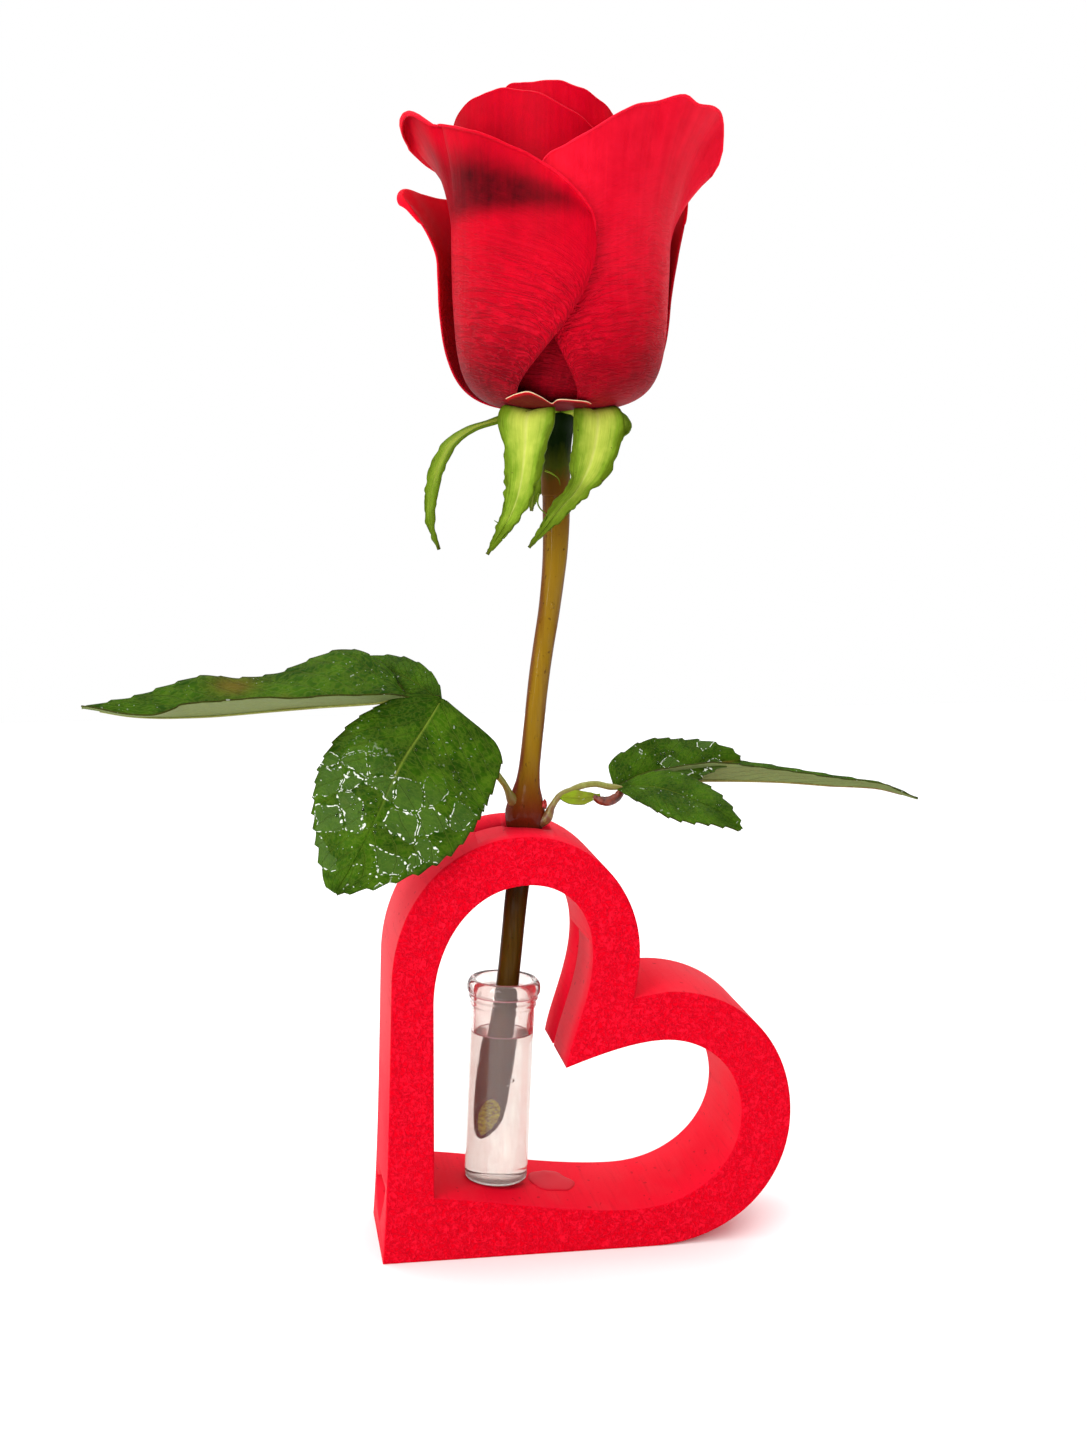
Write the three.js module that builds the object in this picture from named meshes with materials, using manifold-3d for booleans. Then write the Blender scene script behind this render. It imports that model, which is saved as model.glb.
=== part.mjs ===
// A red rose that stands in a heart-shaped foam holder, with its cut stem in a small tube of water.
// Millimetres, +Z up. The origin is the middle of the holder's flat foot. The front is -Y.

import * as THREE from 'three';
import { mergeVertices } from 'three/addons/utils/BufferGeometryUtils.js';
import Module from 'manifold-3d';

const wasm = await Module();
wasm.setup();

// Driving dimensions

const SEAT_GAP = 0.3;           // clearance between pieces that touch

const HEART_DEPTH = 31;         // front face to back face of the foam
const CORNER_X = -31;           // the heart's lower left corner, on the floor
const CROWN = { x: 2, z: 97.2 };
const STEM_HOLE = { centerX: 4.3, length: 11.6, width: 8.6 };
const SLIT = { fromX: -7.8, width: 1.3 };
const POCKET_DEPTH = 3;         // shallow cut in the outer wall above the corner

const TUBE = { height: 48.1, outerRadius: 7.35, wall: 0.95, rimRadius: 8.5, rimHeight: 2.8 };
const TUBE_FOOT = { x: -3.2, z: 13.02 };
const TUBE_LEAN = 2.6;          // degrees to the right
const WATER_LEVEL = 49.5;

const STEM_TOP = 172.6;
const STEM_CUT_ANGLE = 38;      // degrees, the slanting cut at the lower end
const PETIOLE_RADIUS = 0.75;
const LEAF_THICKNESS = 0.75;
const SEPAL_THICKNESS = 0.8;

const BLOOM = { x: 11, baseZ: 191, rootRadius: 5 };
const BOWL = { height: 2.4, power: 0.6 };   // how soon a petal turns upright above its root
const SPREAD_HEIGHT = 34;       // above this height a petal has its full width
const PETAL_THICKNESS = 0.85;
const BLOOM_FRONT = -9.7;       // degrees, where the two outer petals part

// Small tools for points and solids

const at = (x, y, z) => new THREE.Vector3(x, y, z);
const radians = THREE.MathUtils.degToRad;
const clamp = THREE.MathUtils.clamp;

// A smooth function through a few [place, value] pairs in rising order of place
function through(pairs) {
  const slopeAt = (k) => {
    const before = pairs[Math.max(k - 1, 0)];
    const after = pairs[Math.min(k + 1, pairs.length - 1)];
    return (after[1] - before[1]) / (after[0] - before[0]);
  };
  return (place) => {
    let k = 0;
    while (k < pairs.length - 2 && place > pairs[k + 1][0]) k += 1;
    const [start, from] = pairs[k];
    const [end, to] = pairs[k + 1];
    const span = end - start;
    const t = clamp((place - start) / span, 0, 1);
    const rise = t * t * (3 - 2 * t);
    const leave = t * (1 - t) * (1 - t) * span * slopeAt(k);
    const arrive = t * t * (t - 1) * span * slopeAt(k + 1);
    return from + (to - from) * rise + leave + arrive;
  };
}

function solidOf(geometry) {
  const bare = geometry.clone();
  bare.deleteAttribute('normal');
  bare.deleteAttribute('uv');
  const merged = mergeVertices(bare, 1e-4);
  return new wasm.Manifold(new wasm.Mesh({
    numProp: 3,
    vertProperties: new Float32Array(merged.attributes.position.array),
    triVerts: new Uint32Array(merged.index.array),
  }));
}

function geometryOf(solid) {
  const mesh = solid.getMesh();
  const geometry = new THREE.BufferGeometry();
  geometry.setAttribute('position', new THREE.BufferAttribute(mesh.vertProperties, mesh.numProp));
  geometry.setIndex(new THREE.BufferAttribute(mesh.triVerts, 1));
  return geometry;
}

// Joins solids, fills what they seal in and drops loose scraps
function fuse(solids) {
  const pieces = wasm.Manifold.union(solids).decompose();
  pieces.sort((one, other) => other.volume() - one.volume());
  return pieces[0].simplify(0.01);
}

function meshFrom(points, faces) {
  const geometry = new THREE.BufferGeometry().setFromPoints(points);
  geometry.setIndex(faces.flat());
  return geometry;
}

// A thin closed blade on a grid of points, with half its thickness on either side
function blade(grid, thickness) {
  const rows = grid.length;
  const columns = grid[0].length;
  const points = [];
  for (let i = 0; i < rows; i += 1) {
    for (let j = 0; j < columns; j += 1) {
      const along = grid[Math.min(i + 1, rows - 1)][j].clone().sub(grid[Math.max(i - 1, 0)][j]);
      const across = grid[i][Math.min(j + 1, columns - 1)].clone().sub(grid[i][Math.max(j - 1, 0)]);
      const half = along.cross(across).normalize().multiplyScalar(thickness / 2);
      points.push(grid[i][j].clone().add(half), grid[i][j].clone().sub(half));
    }
  }
  const front = (i, j) => 2 * (i * columns + j);
  const faces = [];
  for (let i = 0; i + 1 < rows; i += 1) {
    for (let j = 0; j + 1 < columns; j += 1) {
      const corners = [front(i, j), front(i + 1, j), front(i + 1, j + 1), front(i, j + 1)];
      const [a, b, c, d] = corners;
      const [e, f, g, h] = corners.map((corner) => corner + 1);
      faces.push([a, b, c], [a, c, d], [e, g, f], [e, h, g]);
    }
  }
  const edge = [];
  for (let i = 0; i + 1 < rows; i += 1) edge.push(front(i, 0));
  for (let j = 0; j + 1 < columns; j += 1) edge.push(front(rows - 1, j));
  for (let i = rows - 1; i > 0; i -= 1) edge.push(front(i, columns - 1));
  for (let j = columns - 1; j > 0; j -= 1) edge.push(front(0, j));
  edge.forEach((p, k) => {
    const q = edge[(k + 1) % edge.length];
    faces.push([q, p, p + 1], [q, p + 1, q + 1]);
  });
  return meshFrom(points, faces);
}

// A closed bar along a curve; radiiAt gives its radius along the reference direction and across it
function bar(curve, steps, sides, reference, radiiAt) {
  const points = [];
  const faces = [];
  for (let i = 0; i <= steps; i += 1) {
    const t = i / steps;
    const center = curve.getPointAt(t);
    const tangent = curve.getTangentAt(t);
    const first = reference.clone().addScaledVector(tangent, -reference.dot(tangent)).normalize();
    const second = tangent.clone().cross(first);
    const [alongFirst, alongSecond] = radiiAt(t, center);
    for (let k = 0; k < sides; k += 1) {
      const angle = (2 * Math.PI * k) / sides;
      points.push(center.clone()
        .addScaledVector(first, alongFirst * Math.cos(angle))
        .addScaledVector(second, alongSecond * Math.sin(angle)));
    }
  }
  const ring = (i, k) => i * sides + (k % sides);
  const startCenter = points.push(curve.getPointAt(0)) - 1;
  const endCenter = points.push(curve.getPointAt(1)) - 1;
  for (let k = 0; k < sides; k += 1) {
    faces.push([startCenter, ring(0, k + 1), ring(0, k)]);
    faces.push([endCenter, ring(steps, k), ring(steps, k + 1)]);
    for (let i = 0; i < steps; i += 1) {
      faces.push([ring(i, k), ring(i, k + 1), ring(i + 1, k + 1)]);
      faces.push([ring(i, k), ring(i + 1, k + 1), ring(i + 1, k)]);
    }
  }
  return meshFrom(points, faces);
}

const curveOf = (points) => new THREE.CatmullRomCurve3(points, false, 'centripetal');

// The heart: outline and opening in X and Z, drawn anticlockwise from the lower left corner

function heartOutline() {
  const outline = new THREE.Shape();
  outline.moveTo(CORNER_X, 0);
  outline.lineTo(-CORNER_X, 0);
  outline.bezierCurveTo(50.5, 0, 63.8, 13.5, 63.8, 30.4);
  outline.bezierCurveTo(63.8, 47.3, 51.5, 60.6, 34, 60.4);
  outline.lineTo(26.6, 59.2);
  outline.bezierCurveTo(27.2, 62.5, 27.9, 66, 27.9, 70);
  outline.bezierCurveTo(27.9, 84.5, 16.5, CROWN.z, CROWN.x, CROWN.z);
  outline.bezierCurveTo(-14.5, CROWN.z, -27.3, 84.5, -28.4, 66);
  outline.bezierCurveTo(-29, 48, -29.4, 20, CORNER_X, 0);
  const opening = new THREE.Path();
  opening.moveTo(-19.2, 14.8);
  opening.bezierCurveTo(-4, 13.2, 12, 9.2, 27, 9.2);
  opening.bezierCurveTo(41, 9.2, 52, 18.5, 52, 30.8);
  opening.bezierCurveTo(52, 41.5, 44, 49, 33.5, 49);
  opening.bezierCurveTo(27, 49, 19, 46.5, 11, 43.6);
  opening.bezierCurveTo(12.2, 51, 17, 60, 17, 70);
  opening.bezierCurveTo(17, 80.5, 10.5, 86.1, 2.5, 86.1);
  opening.bezierCurveTo(-10, 86.1, -18.6, 74, -19, 60);
  opening.lineTo(-19.2, 14.8);
  outline.holes.push(opening);
  return outline;
}

// A drawing in X and Y, pushed through the foam from front to back
function throughDepth(shape, depth, curveSegments) {
  const geometry = new THREE.ExtrudeGeometry(shape, { depth, curveSegments, bevelEnabled: false });
  geometry.rotateX(Math.PI / 2);
  geometry.translate(0, depth / 2, 0);
  return geometry;
}

function stemHole() {
  const { centerX, length, width } = STEM_HOLE;
  const straight = (length - width) / 2;
  const oval = new THREE.Shape();
  oval.absarc(centerX + straight, 0, width / 2, -Math.PI / 2, Math.PI / 2, false);
  oval.absarc(centerX - straight, 0, width / 2, Math.PI / 2, (3 * Math.PI) / 2, false);
  const height = 24;
  const hole = new THREE.ExtrudeGeometry(oval, { depth: height, curveSegments: 8, bevelEnabled: false });
  const slitLength = centerX - SLIT.fromX;
  const slit = new THREE.BoxGeometry(slitLength, SLIT.width, height);
  slit.translate(SLIT.fromX + slitLength / 2, 0, height / 2);
  const cut = solidOf(hole).add(solidOf(slit));
  return cut.translate([0, 0, CROWN.z - height / 2 - 4]);
}

function cornerPocket() {
  const mouth = new THREE.Shape();
  mouth.moveTo(-12.4, 16.5);
  mouth.quadraticCurveTo(-6, 8, -1.4, 4.3);
  mouth.quadraticCurveTo(6, 6, 11.5, 10.7);
  mouth.quadraticCurveTo(6, 13.5, 2, 15.6);
  mouth.lineTo(-12.4, 16.5);
  const reach = 8;
  const cut = new THREE.ExtrudeGeometry(mouth, { depth: reach, curveSegments: 4, bevelEnabled: false });
  cut.rotateX(Math.PI / 2);
  cut.rotateZ(Math.PI / 2);
  cut.translate(CORNER_X + POCKET_DEPTH - reach + 0.6, 0, 0);
  return solidOf(cut);
}

const heart = solidOf(throughDepth(heartOutline(), HEART_DEPTH, 9))
  .subtract(stemHole())
  .subtract(cornerPocket());

// The tube of water, upright and then leaned over

function tubeProfile() {
  const { height, outerRadius, wall, rimRadius, rimHeight } = TUBE;
  const bore = outerRadius - wall;
  const collarFoot = height - rimHeight - 4;
  return [
    [0, 0], [4.6, 0.35], [6.6, 1.2], [outerRadius, 2.6], [outerRadius, collarFoot],
    [rimRadius - 0.5, height - rimHeight - 0.4], [rimRadius, height - rimHeight], [rimRadius, height - 0.7],
    [rimRadius - 0.7, height], [bore + 0.9, height], [bore + 0.3, height - 0.7], [bore, collarFoot + 1],
    [bore, 3.2], [bore - 1.2, 2], [3.6, 1.3], [0, 1.1],
  ].map(([r, z]) => new THREE.Vector2(r, z));
}

function turned(profile, segments) {
  const geometry = new THREE.LatheGeometry(profile, segments);
  geometry.rotateX(Math.PI / 2);
  return geometry;
}

function leanedTube(geometry) {
  geometry.rotateY(radians(TUBE_LEAN));
  geometry.translate(TUBE_FOOT.x, 0, TUBE_FOOT.z);
  return geometry;
}

const tubeGeometry = leanedTube(turned(tubeProfile(), 28));

// The stem: a bar along its centre line, swollen where the two leaves leave it

const stemLine = curveOf([
  at(-4.3, 0, 20.5), at(-2.2, 0, 40), at(-0.1, 0, 59.3), at(1.8, 0, 79.4), at(3.6, 0, 94), at(4.2, 0, 103),
  at(5.4, 0, 114.3), at(7.4, 0, 132.7), at(9.5, 0, 146.3), at(10.8, 0, 158), at(11.1, 0, 166),
  at(11.1, 0, STEM_TOP),
]);
const stemRadiusX = through([
  [20, 2.75], [60, 2.75], [88, 2.8], [93, 3.3], [97, 4.3], [100, 4.6], [103, 3.9], [107, 2.8], [112, 2.4],
  [135, 2.35], [150, 2.5], [158, 2.8], [166, 3.05], [STEM_TOP, 3.1],
]);
const stemRadiusY = through([
  [20, 2.75], [60, 2.75], [88, 2.8], [97, 3.6], [101, 3.7], [106, 2.7], [112, 2.4],
  [135, 2.35], [150, 2.5], [158, 2.8], [166, 3.05], [STEM_TOP, 3.1],
]);

function stemBar(extra) {
  const radii = (t, center) => [stemRadiusX(center.z) + extra, stemRadiusY(center.z) + extra];
  return solidOf(bar(stemLine, 40, 12, at(1, 0, 0), radii));
}

function slantedCut() {
  const block = new THREE.BoxGeometry(30, 30, 20);
  block.translate(0, 0, -10);
  block.rotateY(radians(90 - STEM_CUT_ANGLE));
  block.translate(-4.3 + 2.7, 0, 22.6);
  return solidOf(block);
}

function sideBud() {
  const bud = new THREE.SphereGeometry(0.85, 8, 6);
  bud.scale(1, 1, 1.4);
  bud.translate(7.9, -1.4, 101.8);
  return solidOf(bud);
}

const stem = fuse([stemBar(0).subtract(slantedCut()), sideBud()]);
const stemRoom = stemBar(SEAT_GAP);

// The water fills the tube to its level and has a plain hole for the stem

function waterBody() {
  const radius = TUBE.outerRadius - TUBE.wall - SEAT_GAP;
  const floor = 1.1 + SEAT_GAP;
  const profile = [
    [0, floor], [3.5, floor + 0.2], [radius - 1.1, floor + 1], [radius, 3.4], [radius, 40], [0, 40],
  ].map(([r, z]) => new THREE.Vector2(r, z));
  const column = solidOf(leanedTube(turned(profile, 28)));
  const above = new THREE.BoxGeometry(60, 60, 60);
  above.translate(0, 0, WATER_LEVEL + 30);
  return column.subtract(solidOf(above)).subtract(stemRoom);
}

// Leaflets: two toothed wings on a midrib, each folded up or down by its own angle

function leaflet({ midrib, face, right, left, foldRight, foldLeft, teeth, tooth, dome = 0, wave = 0 }) {
  const rib = curveOf(midrib);
  const rows = 2 * teeth;
  const places = [-1, -0.62, -0.3, 0, 0.3, 0.62, 1];
  const wings = {
    '-1': { width: through(left), fold: radians(foldLeft) },
    1: { width: through(right), fold: radians(foldRight) },
  };
  const grid = [];
  for (let i = 0; i <= rows; i += 1) {
    const t = i / rows;
    const center = rib.getPointAt(t);
    const tangent = rib.getTangentAt(t);
    const up = face.clone().addScaledVector(tangent, -face.dot(tangent)).normalize();
    const side = tangent.clone().cross(up);
    grid.push(places.map((place) => {
      const share = Math.abs(place);
      const sign = place < 0 ? -1 : 1;
      const { width, fold } = wings[sign];
      const isToothTip = share === 1 && i % 2 === 1;
      const reach = Math.max(width(t), 0.3) * share + (isToothTip ? tooth : 0);
      const lift = reach * Math.sin(fold) - dome * share * share * Math.sin(Math.PI * t)
        + wave * share * share * Math.sin(3 * Math.PI * t + sign);
      return center.clone()
        .addScaledVector(side, sign * reach * Math.cos(fold))
        .addScaledVector(up, lift)
        .addScaledVector(tangent, isToothTip ? tooth : 0);
    }));
  }
  return solidOf(blade(grid, LEAF_THICKNESS));
}

function petiole(points, radiusAt) {
  const radii = (t) => [radiusAt(t), radiusAt(t)];
  return solidOf(bar(curveOf(points), 14, 8, at(0, 1, 0), radii));
}

function scaled(profile, size) {
  return profile.map(([place, width]) => [place, width * size]);
}

// Half widths of a leaflet from its base to its tip, as shares of the widest place
const roundRightHalf = [
  [0, 0.05], [0.06, 0.44], [0.23, 0.8], [0.43, 1], [0.59, 0.97], [0.75, 0.76], [0.88, 0.5], [0.96, 0.26],
  [1, 0.02],
];
const roundLeftHalf = [
  [0, 0.1], [0.04, 0.74], [0.17, 0.95], [0.33, 1], [0.48, 0.99], [0.6, 0.9], [0.72, 0.73], [0.85, 0.42],
  [0.94, 0.18], [1, 0.02],
];
const ovalHalf = [[0, 0.08], [0.12, 0.55], [0.3, 0.94], [0.45, 1], [0.65, 0.82], [0.85, 0.4], [1, 0.02]];
const slenderHalf = [[0, 0.08], [0.2, 0.64], [0.42, 1], [0.6, 0.95], [0.8, 0.6], [0.93, 0.25], [1, 0.03]];
const broadHalf = [[0, 0.2], [0.06, 0.72], [0.2, 0.82], [0.45, 1], [0.62, 0.92], [0.78, 0.66], [1, 0.03]];
const taperingHalf = [[0, 0.06], [0.14, 0.6], [0.3, 1], [0.47, 0.8], [0.62, 0.55], [0.78, 0.37], [1, 0.04]];

function leftLeaf() {
  const stalk = petiole(
    [
      at(2.6, -0.4, 100.6), at(0.6, -1.6, 103.4), at(-1.1, -3, 106.8), at(-4.1, -5, 110.8),
      at(-7.5, -6.8, 115.8), at(-11.8, -8, 121.6), at(-16.4, -8.6, 126.6), at(-17.6, -8.8, 127.6),
    ],
    (t) => (t < 0.15 ? 1.3 : PETIOLE_RADIUS),
  );
  const hanging = leaflet({
    midrib: [
      at(-15.9, -8.4, 127.6), at(-19.5, -11.6, 121.1), at(-23.6, -15.6, 114.6), at(-28.4, -19.4, 104.9),
      at(-33.4, -22, 95.2), at(-38.3, -23, 87.7),
    ],
    face: at(-0.05, -1, 0.32),
    right: scaled(roundRightHalf, 15.6),
    left: scaled(roundLeftHalf, 21.4),
    foldRight: -4,
    foldLeft: -4,
    teeth: 13,
    tooth: 0.75,
    dome: 1.4,
    wave: 0.7,
  });
  const long = leaflet({
    midrib: [
      at(-16, -8.4, 127), at(-24.1, -8, 128.1), at(-30.7, -7.8, 127.2), at(-40.6, -7, 126.6),
      at(-53.6, -6, 125.6), at(-68.2, -5, 124.5), at(-82.6, -4, 124.6), at(-94.1, -3, 126.6),
    ],
    face: at(0, 0, 1),
    right: [
      [0, 0.4], [0.1, 0.5], [0.14, 9], [0.2, 13.6], [0.28, 15.4], [0.36, 13.6], [0.46, 10.4],
      [0.56, 9.4], [0.66, 10.2], [0.76, 8], [0.88, 4.2], [1, 0.3],
    ],
    left: [
      [0, 0.4], [0.1, 0.5], [0.16, 5], [0.26, 7], [0.36, 8], [0.44, 10.4], [0.55, 11],
      [0.68, 10.4], [0.8, 6.4], [0.9, 2.6], [1, 0.3],
    ],
    foldRight: 46,
    foldLeft: 18,
    teeth: 14,
    tooth: 0.5,
    wave: 0.5,
  });
  const back = leaflet({
    midrib: [
      at(-16.2, -8.2, 126.8), at(-19.6, -5, 129.6), at(-24.6, -1.5, 132.4), at(-30, 2.4, 134),
      at(-35.5, 6, 134.2),
    ],
    face: at(-0.25, -0.75, 0.6),
    right: scaled(ovalHalf, 4.6),
    left: scaled(ovalHalf, 4.4),
    foldRight: -6,
    foldLeft: -10,
    teeth: 7,
    tooth: 0.5,
  });
  return fuse([stalk, hanging, long, back]).subtract(stemRoom);
}

function rightLeaf() {
  const stalk = petiole(
    [
      at(6.2, -0.9, 97.2), at(8.6, -1.6, 98.6), at(9.9, -1.8, 101.4), at(11.9, -1.8, 104),
      at(14.4, -1.5, 105), at(17, -1.2, 105.9), at(20.3, -1, 106.2), at(23.4, -1, 105.5),
      at(27, -1.6, 105.3),
    ],
    (t) => (t < 0.2 ? 1.3 : PETIOLE_RADIUS),
  );
  const lower = leaflet({
    midrib: [
      at(25.4, -1, 105.2), at(29.1, -4, 106), at(34.2, -7, 106), at(40.8, -10, 103.7),
      at(46.6, -13, 101), at(51.2, -15, 97.4),
    ],
    face: at(0.15, -0.68, 0.72),
    right: scaled(slenderHalf, 7.2),
    left: scaled(slenderHalf, 6.8),
    foldRight: -4,
    foldLeft: 6,
    teeth: 9,
    tooth: 0.45,
  });
  const folded = leaflet({
    midrib: [
      at(25.4, -0.6, 105.2), at(29, 1, 107), at(34, 2.4, 108.4), at(41, 3.2, 109), at(48.5, 3.8, 110),
      at(56, 4.4, 110.4),
    ],
    face: at(0, -0.55, 0.84),
    right: scaled(ovalHalf, 5),
    left: scaled(broadHalf, 7.6),
    foldRight: -16,
    foldLeft: 24,
    teeth: 8,
    tooth: 0.45,
    wave: 0.7,
  });
  const long = leaflet({
    midrib: [
      at(25.2, -0.6, 105.4), at(33, 3, 106.2), at(43, 5, 105.8), at(55, 6, 105.3), at(67, 6, 104.6),
      at(79, 5.6, 103.4), at(90.5, 4.6, 102.5), at(99.6, 3, 100),
    ],
    face: at(0, 0, 1),
    right: scaled(taperingHalf, 5.8),
    left: scaled(taperingHalf, 7.2),
    foldRight: 48,
    foldLeft: 36,
    teeth: 11,
    tooth: 0.35,
  });
  const stipule = leaflet({
    midrib: [at(11.6, -2, 103.6), at(14, -2.4, 103.2), at(17, -2.6, 103.2), at(20.4, -2.4, 103.8)],
    face: at(0.1, -0.9, 0.4),
    right: scaled(ovalHalf, 1.7),
    left: scaled(ovalHalf, 1.9),
    foldRight: 0,
    foldLeft: 0,
    teeth: 3,
    tooth: 0.15,
  });
  const curl = petiole(
    [
      at(19.4, -2.4, 103.6), at(21.2, -2.6, 102.6), at(23.4, -2.4, 102.5), at(25.6, -1.8, 103.8),
      at(26.2, -1.2, 105.2),
    ],
    (t) => 0.5 + 0.5 * Math.sin(Math.PI * t),
  );
  return fuse([stalk, lower, folded, long, stipule, curl]).subtract(stemRoom);
}

// The calyx: the green hip under the bloom and five sepals that bend down from it

const hipFoot = STEM_TOP + SEAT_GAP;
const hipTop = BLOOM.baseZ - 1.5;

function hip() {
  const profile = [
    [0, hipFoot], [3.1, hipFoot], [3.3, 178], [3.5, 183], [3.9, 186.4], [5, 188.5], [5.2, hipTop],
    [0, hipTop],
  ].map(([r, z]) => new THREE.Vector2(r, z));
  const geometry = turned(profile, 14);
  geometry.translate(BLOOM.x, 0, 0);
  return solidOf(geometry);
}

const sepals = [
  { // front left, broad and hanging straight
    spine: [
      at(9, -2, 188.2), at(6, -6, 189.2), at(3.6, -10.2, 189.4), at(2.6, -12, 187.5), at(2, -12.4, 181),
      at(1, -12, 173.5), at(-1.4, -11.4, 167), at(-6, -11, 159.4),
    ],
    width: [[0, 3.2], [0.15, 4.6], [0.3, 6.6], [0.42, 5.6], [0.6, 4.2], [0.75, 3], [0.88, 1.6], [1, 0.3]],
    facing: -20,
  },
  { // front right, curling across the stem
    spine: [
      at(13.4, -2, 188.2), at(16, -6, 189.2), at(18.1, -9.6, 189.4), at(18.4, -11.4, 187.5),
      at(17.2, -12, 181), at(14.2, -11.6, 174), at(9.8, -10.6, 168.8), at(3.4, -9.6, 160.8),
    ],
    width: [[0, 3.2], [0.14, 4.4], [0.28, 6], [0.42, 4.8], [0.58, 3.1], [0.72, 2.2], [0.88, 1.2], [1, 0.3]],
    facing: 14,
  },
  { // left, thin and arching wide, seen edge on
    spine: [
      at(8.6, 0.6, 188.2), at(3, 1.6, 189.2), at(-3, 2.4, 189.2), at(-7.8, 3, 187.6), at(-12.4, 3, 183.4),
      at(-15.4, 3, 177.6), at(-16.9, 3, 171), at(-16.8, 3, 165), at(-15.2, 3, 160),
    ],
    width: [[0, 3], [0.2, 3], [0.4, 2.4], [0.7, 2], [0.9, 1.2], [1, 0.3]],
    facing: -86,
  },
  { // back right, pointing away and tucked behind
    spine: [
      at(13.6, 1.4, 188.2), at(18.4, 3.8, 189.2), at(23, 6.4, 189.4), at(25, 8.4, 187.8),
      at(24.2, 10.2, 183), at(21.2, 11, 177.6), at(18, 11, 172),
    ],
    width: [[0, 3], [0.25, 4.4], [0.45, 4.4], [0.7, 2.8], [0.9, 1.2], [1, 0.3]],
    facing: 118,
  },
  { // back, hanging behind the stem
    spine: [
      at(10.8, 2.6, 188.2), at(10.4, 7, 189.2), at(9.8, 11, 189.2), at(9.2, 13.4, 186.4),
      at(8.6, 14, 178), at(7.6, 13.6, 168.4),
    ],
    width: [[0, 3.2], [0.25, 5], [0.42, 5], [0.7, 3], [0.9, 1.2], [1, 0.3]],
    facing: 184,
  },
];

function sepal({ spine, width, facing }) {
  const rib = curveOf(spine);
  const level = at(Math.cos(radians(facing)), Math.sin(radians(facing)), 0);
  const halfWidth = through(width);
  const rows = 11;
  const grid = [];
  for (let i = 0; i <= rows; i += 1) {
    const t = i / rows;
    const tangent = rib.getTangentAt(t);
    const side = level.clone().addScaledVector(tangent, -level.dot(tangent)).normalize();
    const up = side.clone().cross(tangent);
    grid.push([-1, -0.5, 0, 0.5, 1].map((place) => rib.getPointAt(t)
      .addScaledVector(side, place * halfWidth(t))
      .addScaledVector(up, -0.12 * halfWidth(t) * place * place)));
  }
  return solidOf(blade(grid, SEPAL_THICKNESS));
}

// The bloom: petals in layers round a small core. Azimuths are counted from the bloom's front,
// positive to the right; radius and height are in millimetres, lean is how far the margin flares.

const petals = [
  { // outer left, its margin crossing the front and its tip curled out
    place: { azimuth: -90, half: 108, radius: 24.9, spiral: 2.9 },
    form: { height: 63.5, shoulder: 0.55, point: 0.35 },
    lean: { by: 8.5, at: 0, wide: 0.42, from: 47.5 },
  },
  { // outer right, flared to the right
    place: { azimuth: 59, half: 72, radius: 26.3, spiral: 0.6 },
    form: { height: 64.8, shoulder: 0.66, point: 0.35 },
    lean: { by: 14.2, at: 0.45, wide: 0.52, from: 33 },
  },
  { // lowest at the back left, its corner curled out
    place: { azimuth: -140, half: 52, radius: 26.4, spiral: 0 },
    form: { height: 51.5, shoulder: 0.84, point: 0.2 },
    lean: { by: 12, at: 0.8, wide: 0.5, from: 33 },
  },
  { // lowest at the back right
    place: { azimuth: 142, half: 46, radius: 26.2, spiral: 0 },
    form: { height: 52.5, shoulder: 0.8, point: 0.25 },
    lean: { by: 3.4, at: 0, wide: 1.4, from: 17 },
  },
  { // the dome's left half
    place: { azimuth: -30, half: 85, radius: 23.4, spiral: 0 },
    form: { height: 66.5, shoulder: 0.6, point: 0.3 },
    lean: { by: -2.6, at: 0.1, wide: 1.2, from: 45 },
  },
  { // the dome's right half
    place: { azimuth: -2, half: 80, radius: 20.6, spiral: 0 },
    form: { height: 68, shoulder: 0.6, point: 0.25 },
    lean: { by: -1.8, at: 0.1, wide: 1.2, from: 45 },
  },
  { // back
    place: { azimuth: -168, half: 76, radius: 23.6, spiral: -0.6 },
    form: { height: 63.5, shoulder: 0.62, point: 0.3 },
    lean: { by: 3, at: 0, wide: 0.8, from: 43 },
  },
  { // right, inside the flared one
    place: { azimuth: 118, half: 74, radius: 22, spiral: 1 },
    form: { height: 64.5, shoulder: 0.62, point: 0.3 },
    lean: { by: -1, at: 0, wide: 1, from: 43 },
  },
  { // inner three, winding into the bud
    place: { azimuth: -120, half: 88, radius: 18, spiral: 1.2 },
    form: { height: 63.5, shoulder: 0.62, point: 0.3 },
    lean: { by: -2.4, at: 0, wide: 1.2, from: 39 },
  },
  {
    place: { azimuth: 90, half: 95, radius: 14.6, spiral: 1.2 },
    form: { height: 62.5, shoulder: 0.64, point: 0.3 },
    lean: { by: -2.8, at: 0, wide: 1.2, from: 37 },
  },
  {
    place: { azimuth: -50, half: 100, radius: 11, spiral: 1.4 },
    form: { height: 60.5, shoulder: 0.66, point: 0.3 },
    lean: { by: -3, at: 0, wide: 1.2, from: 37 },
  },
];

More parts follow.
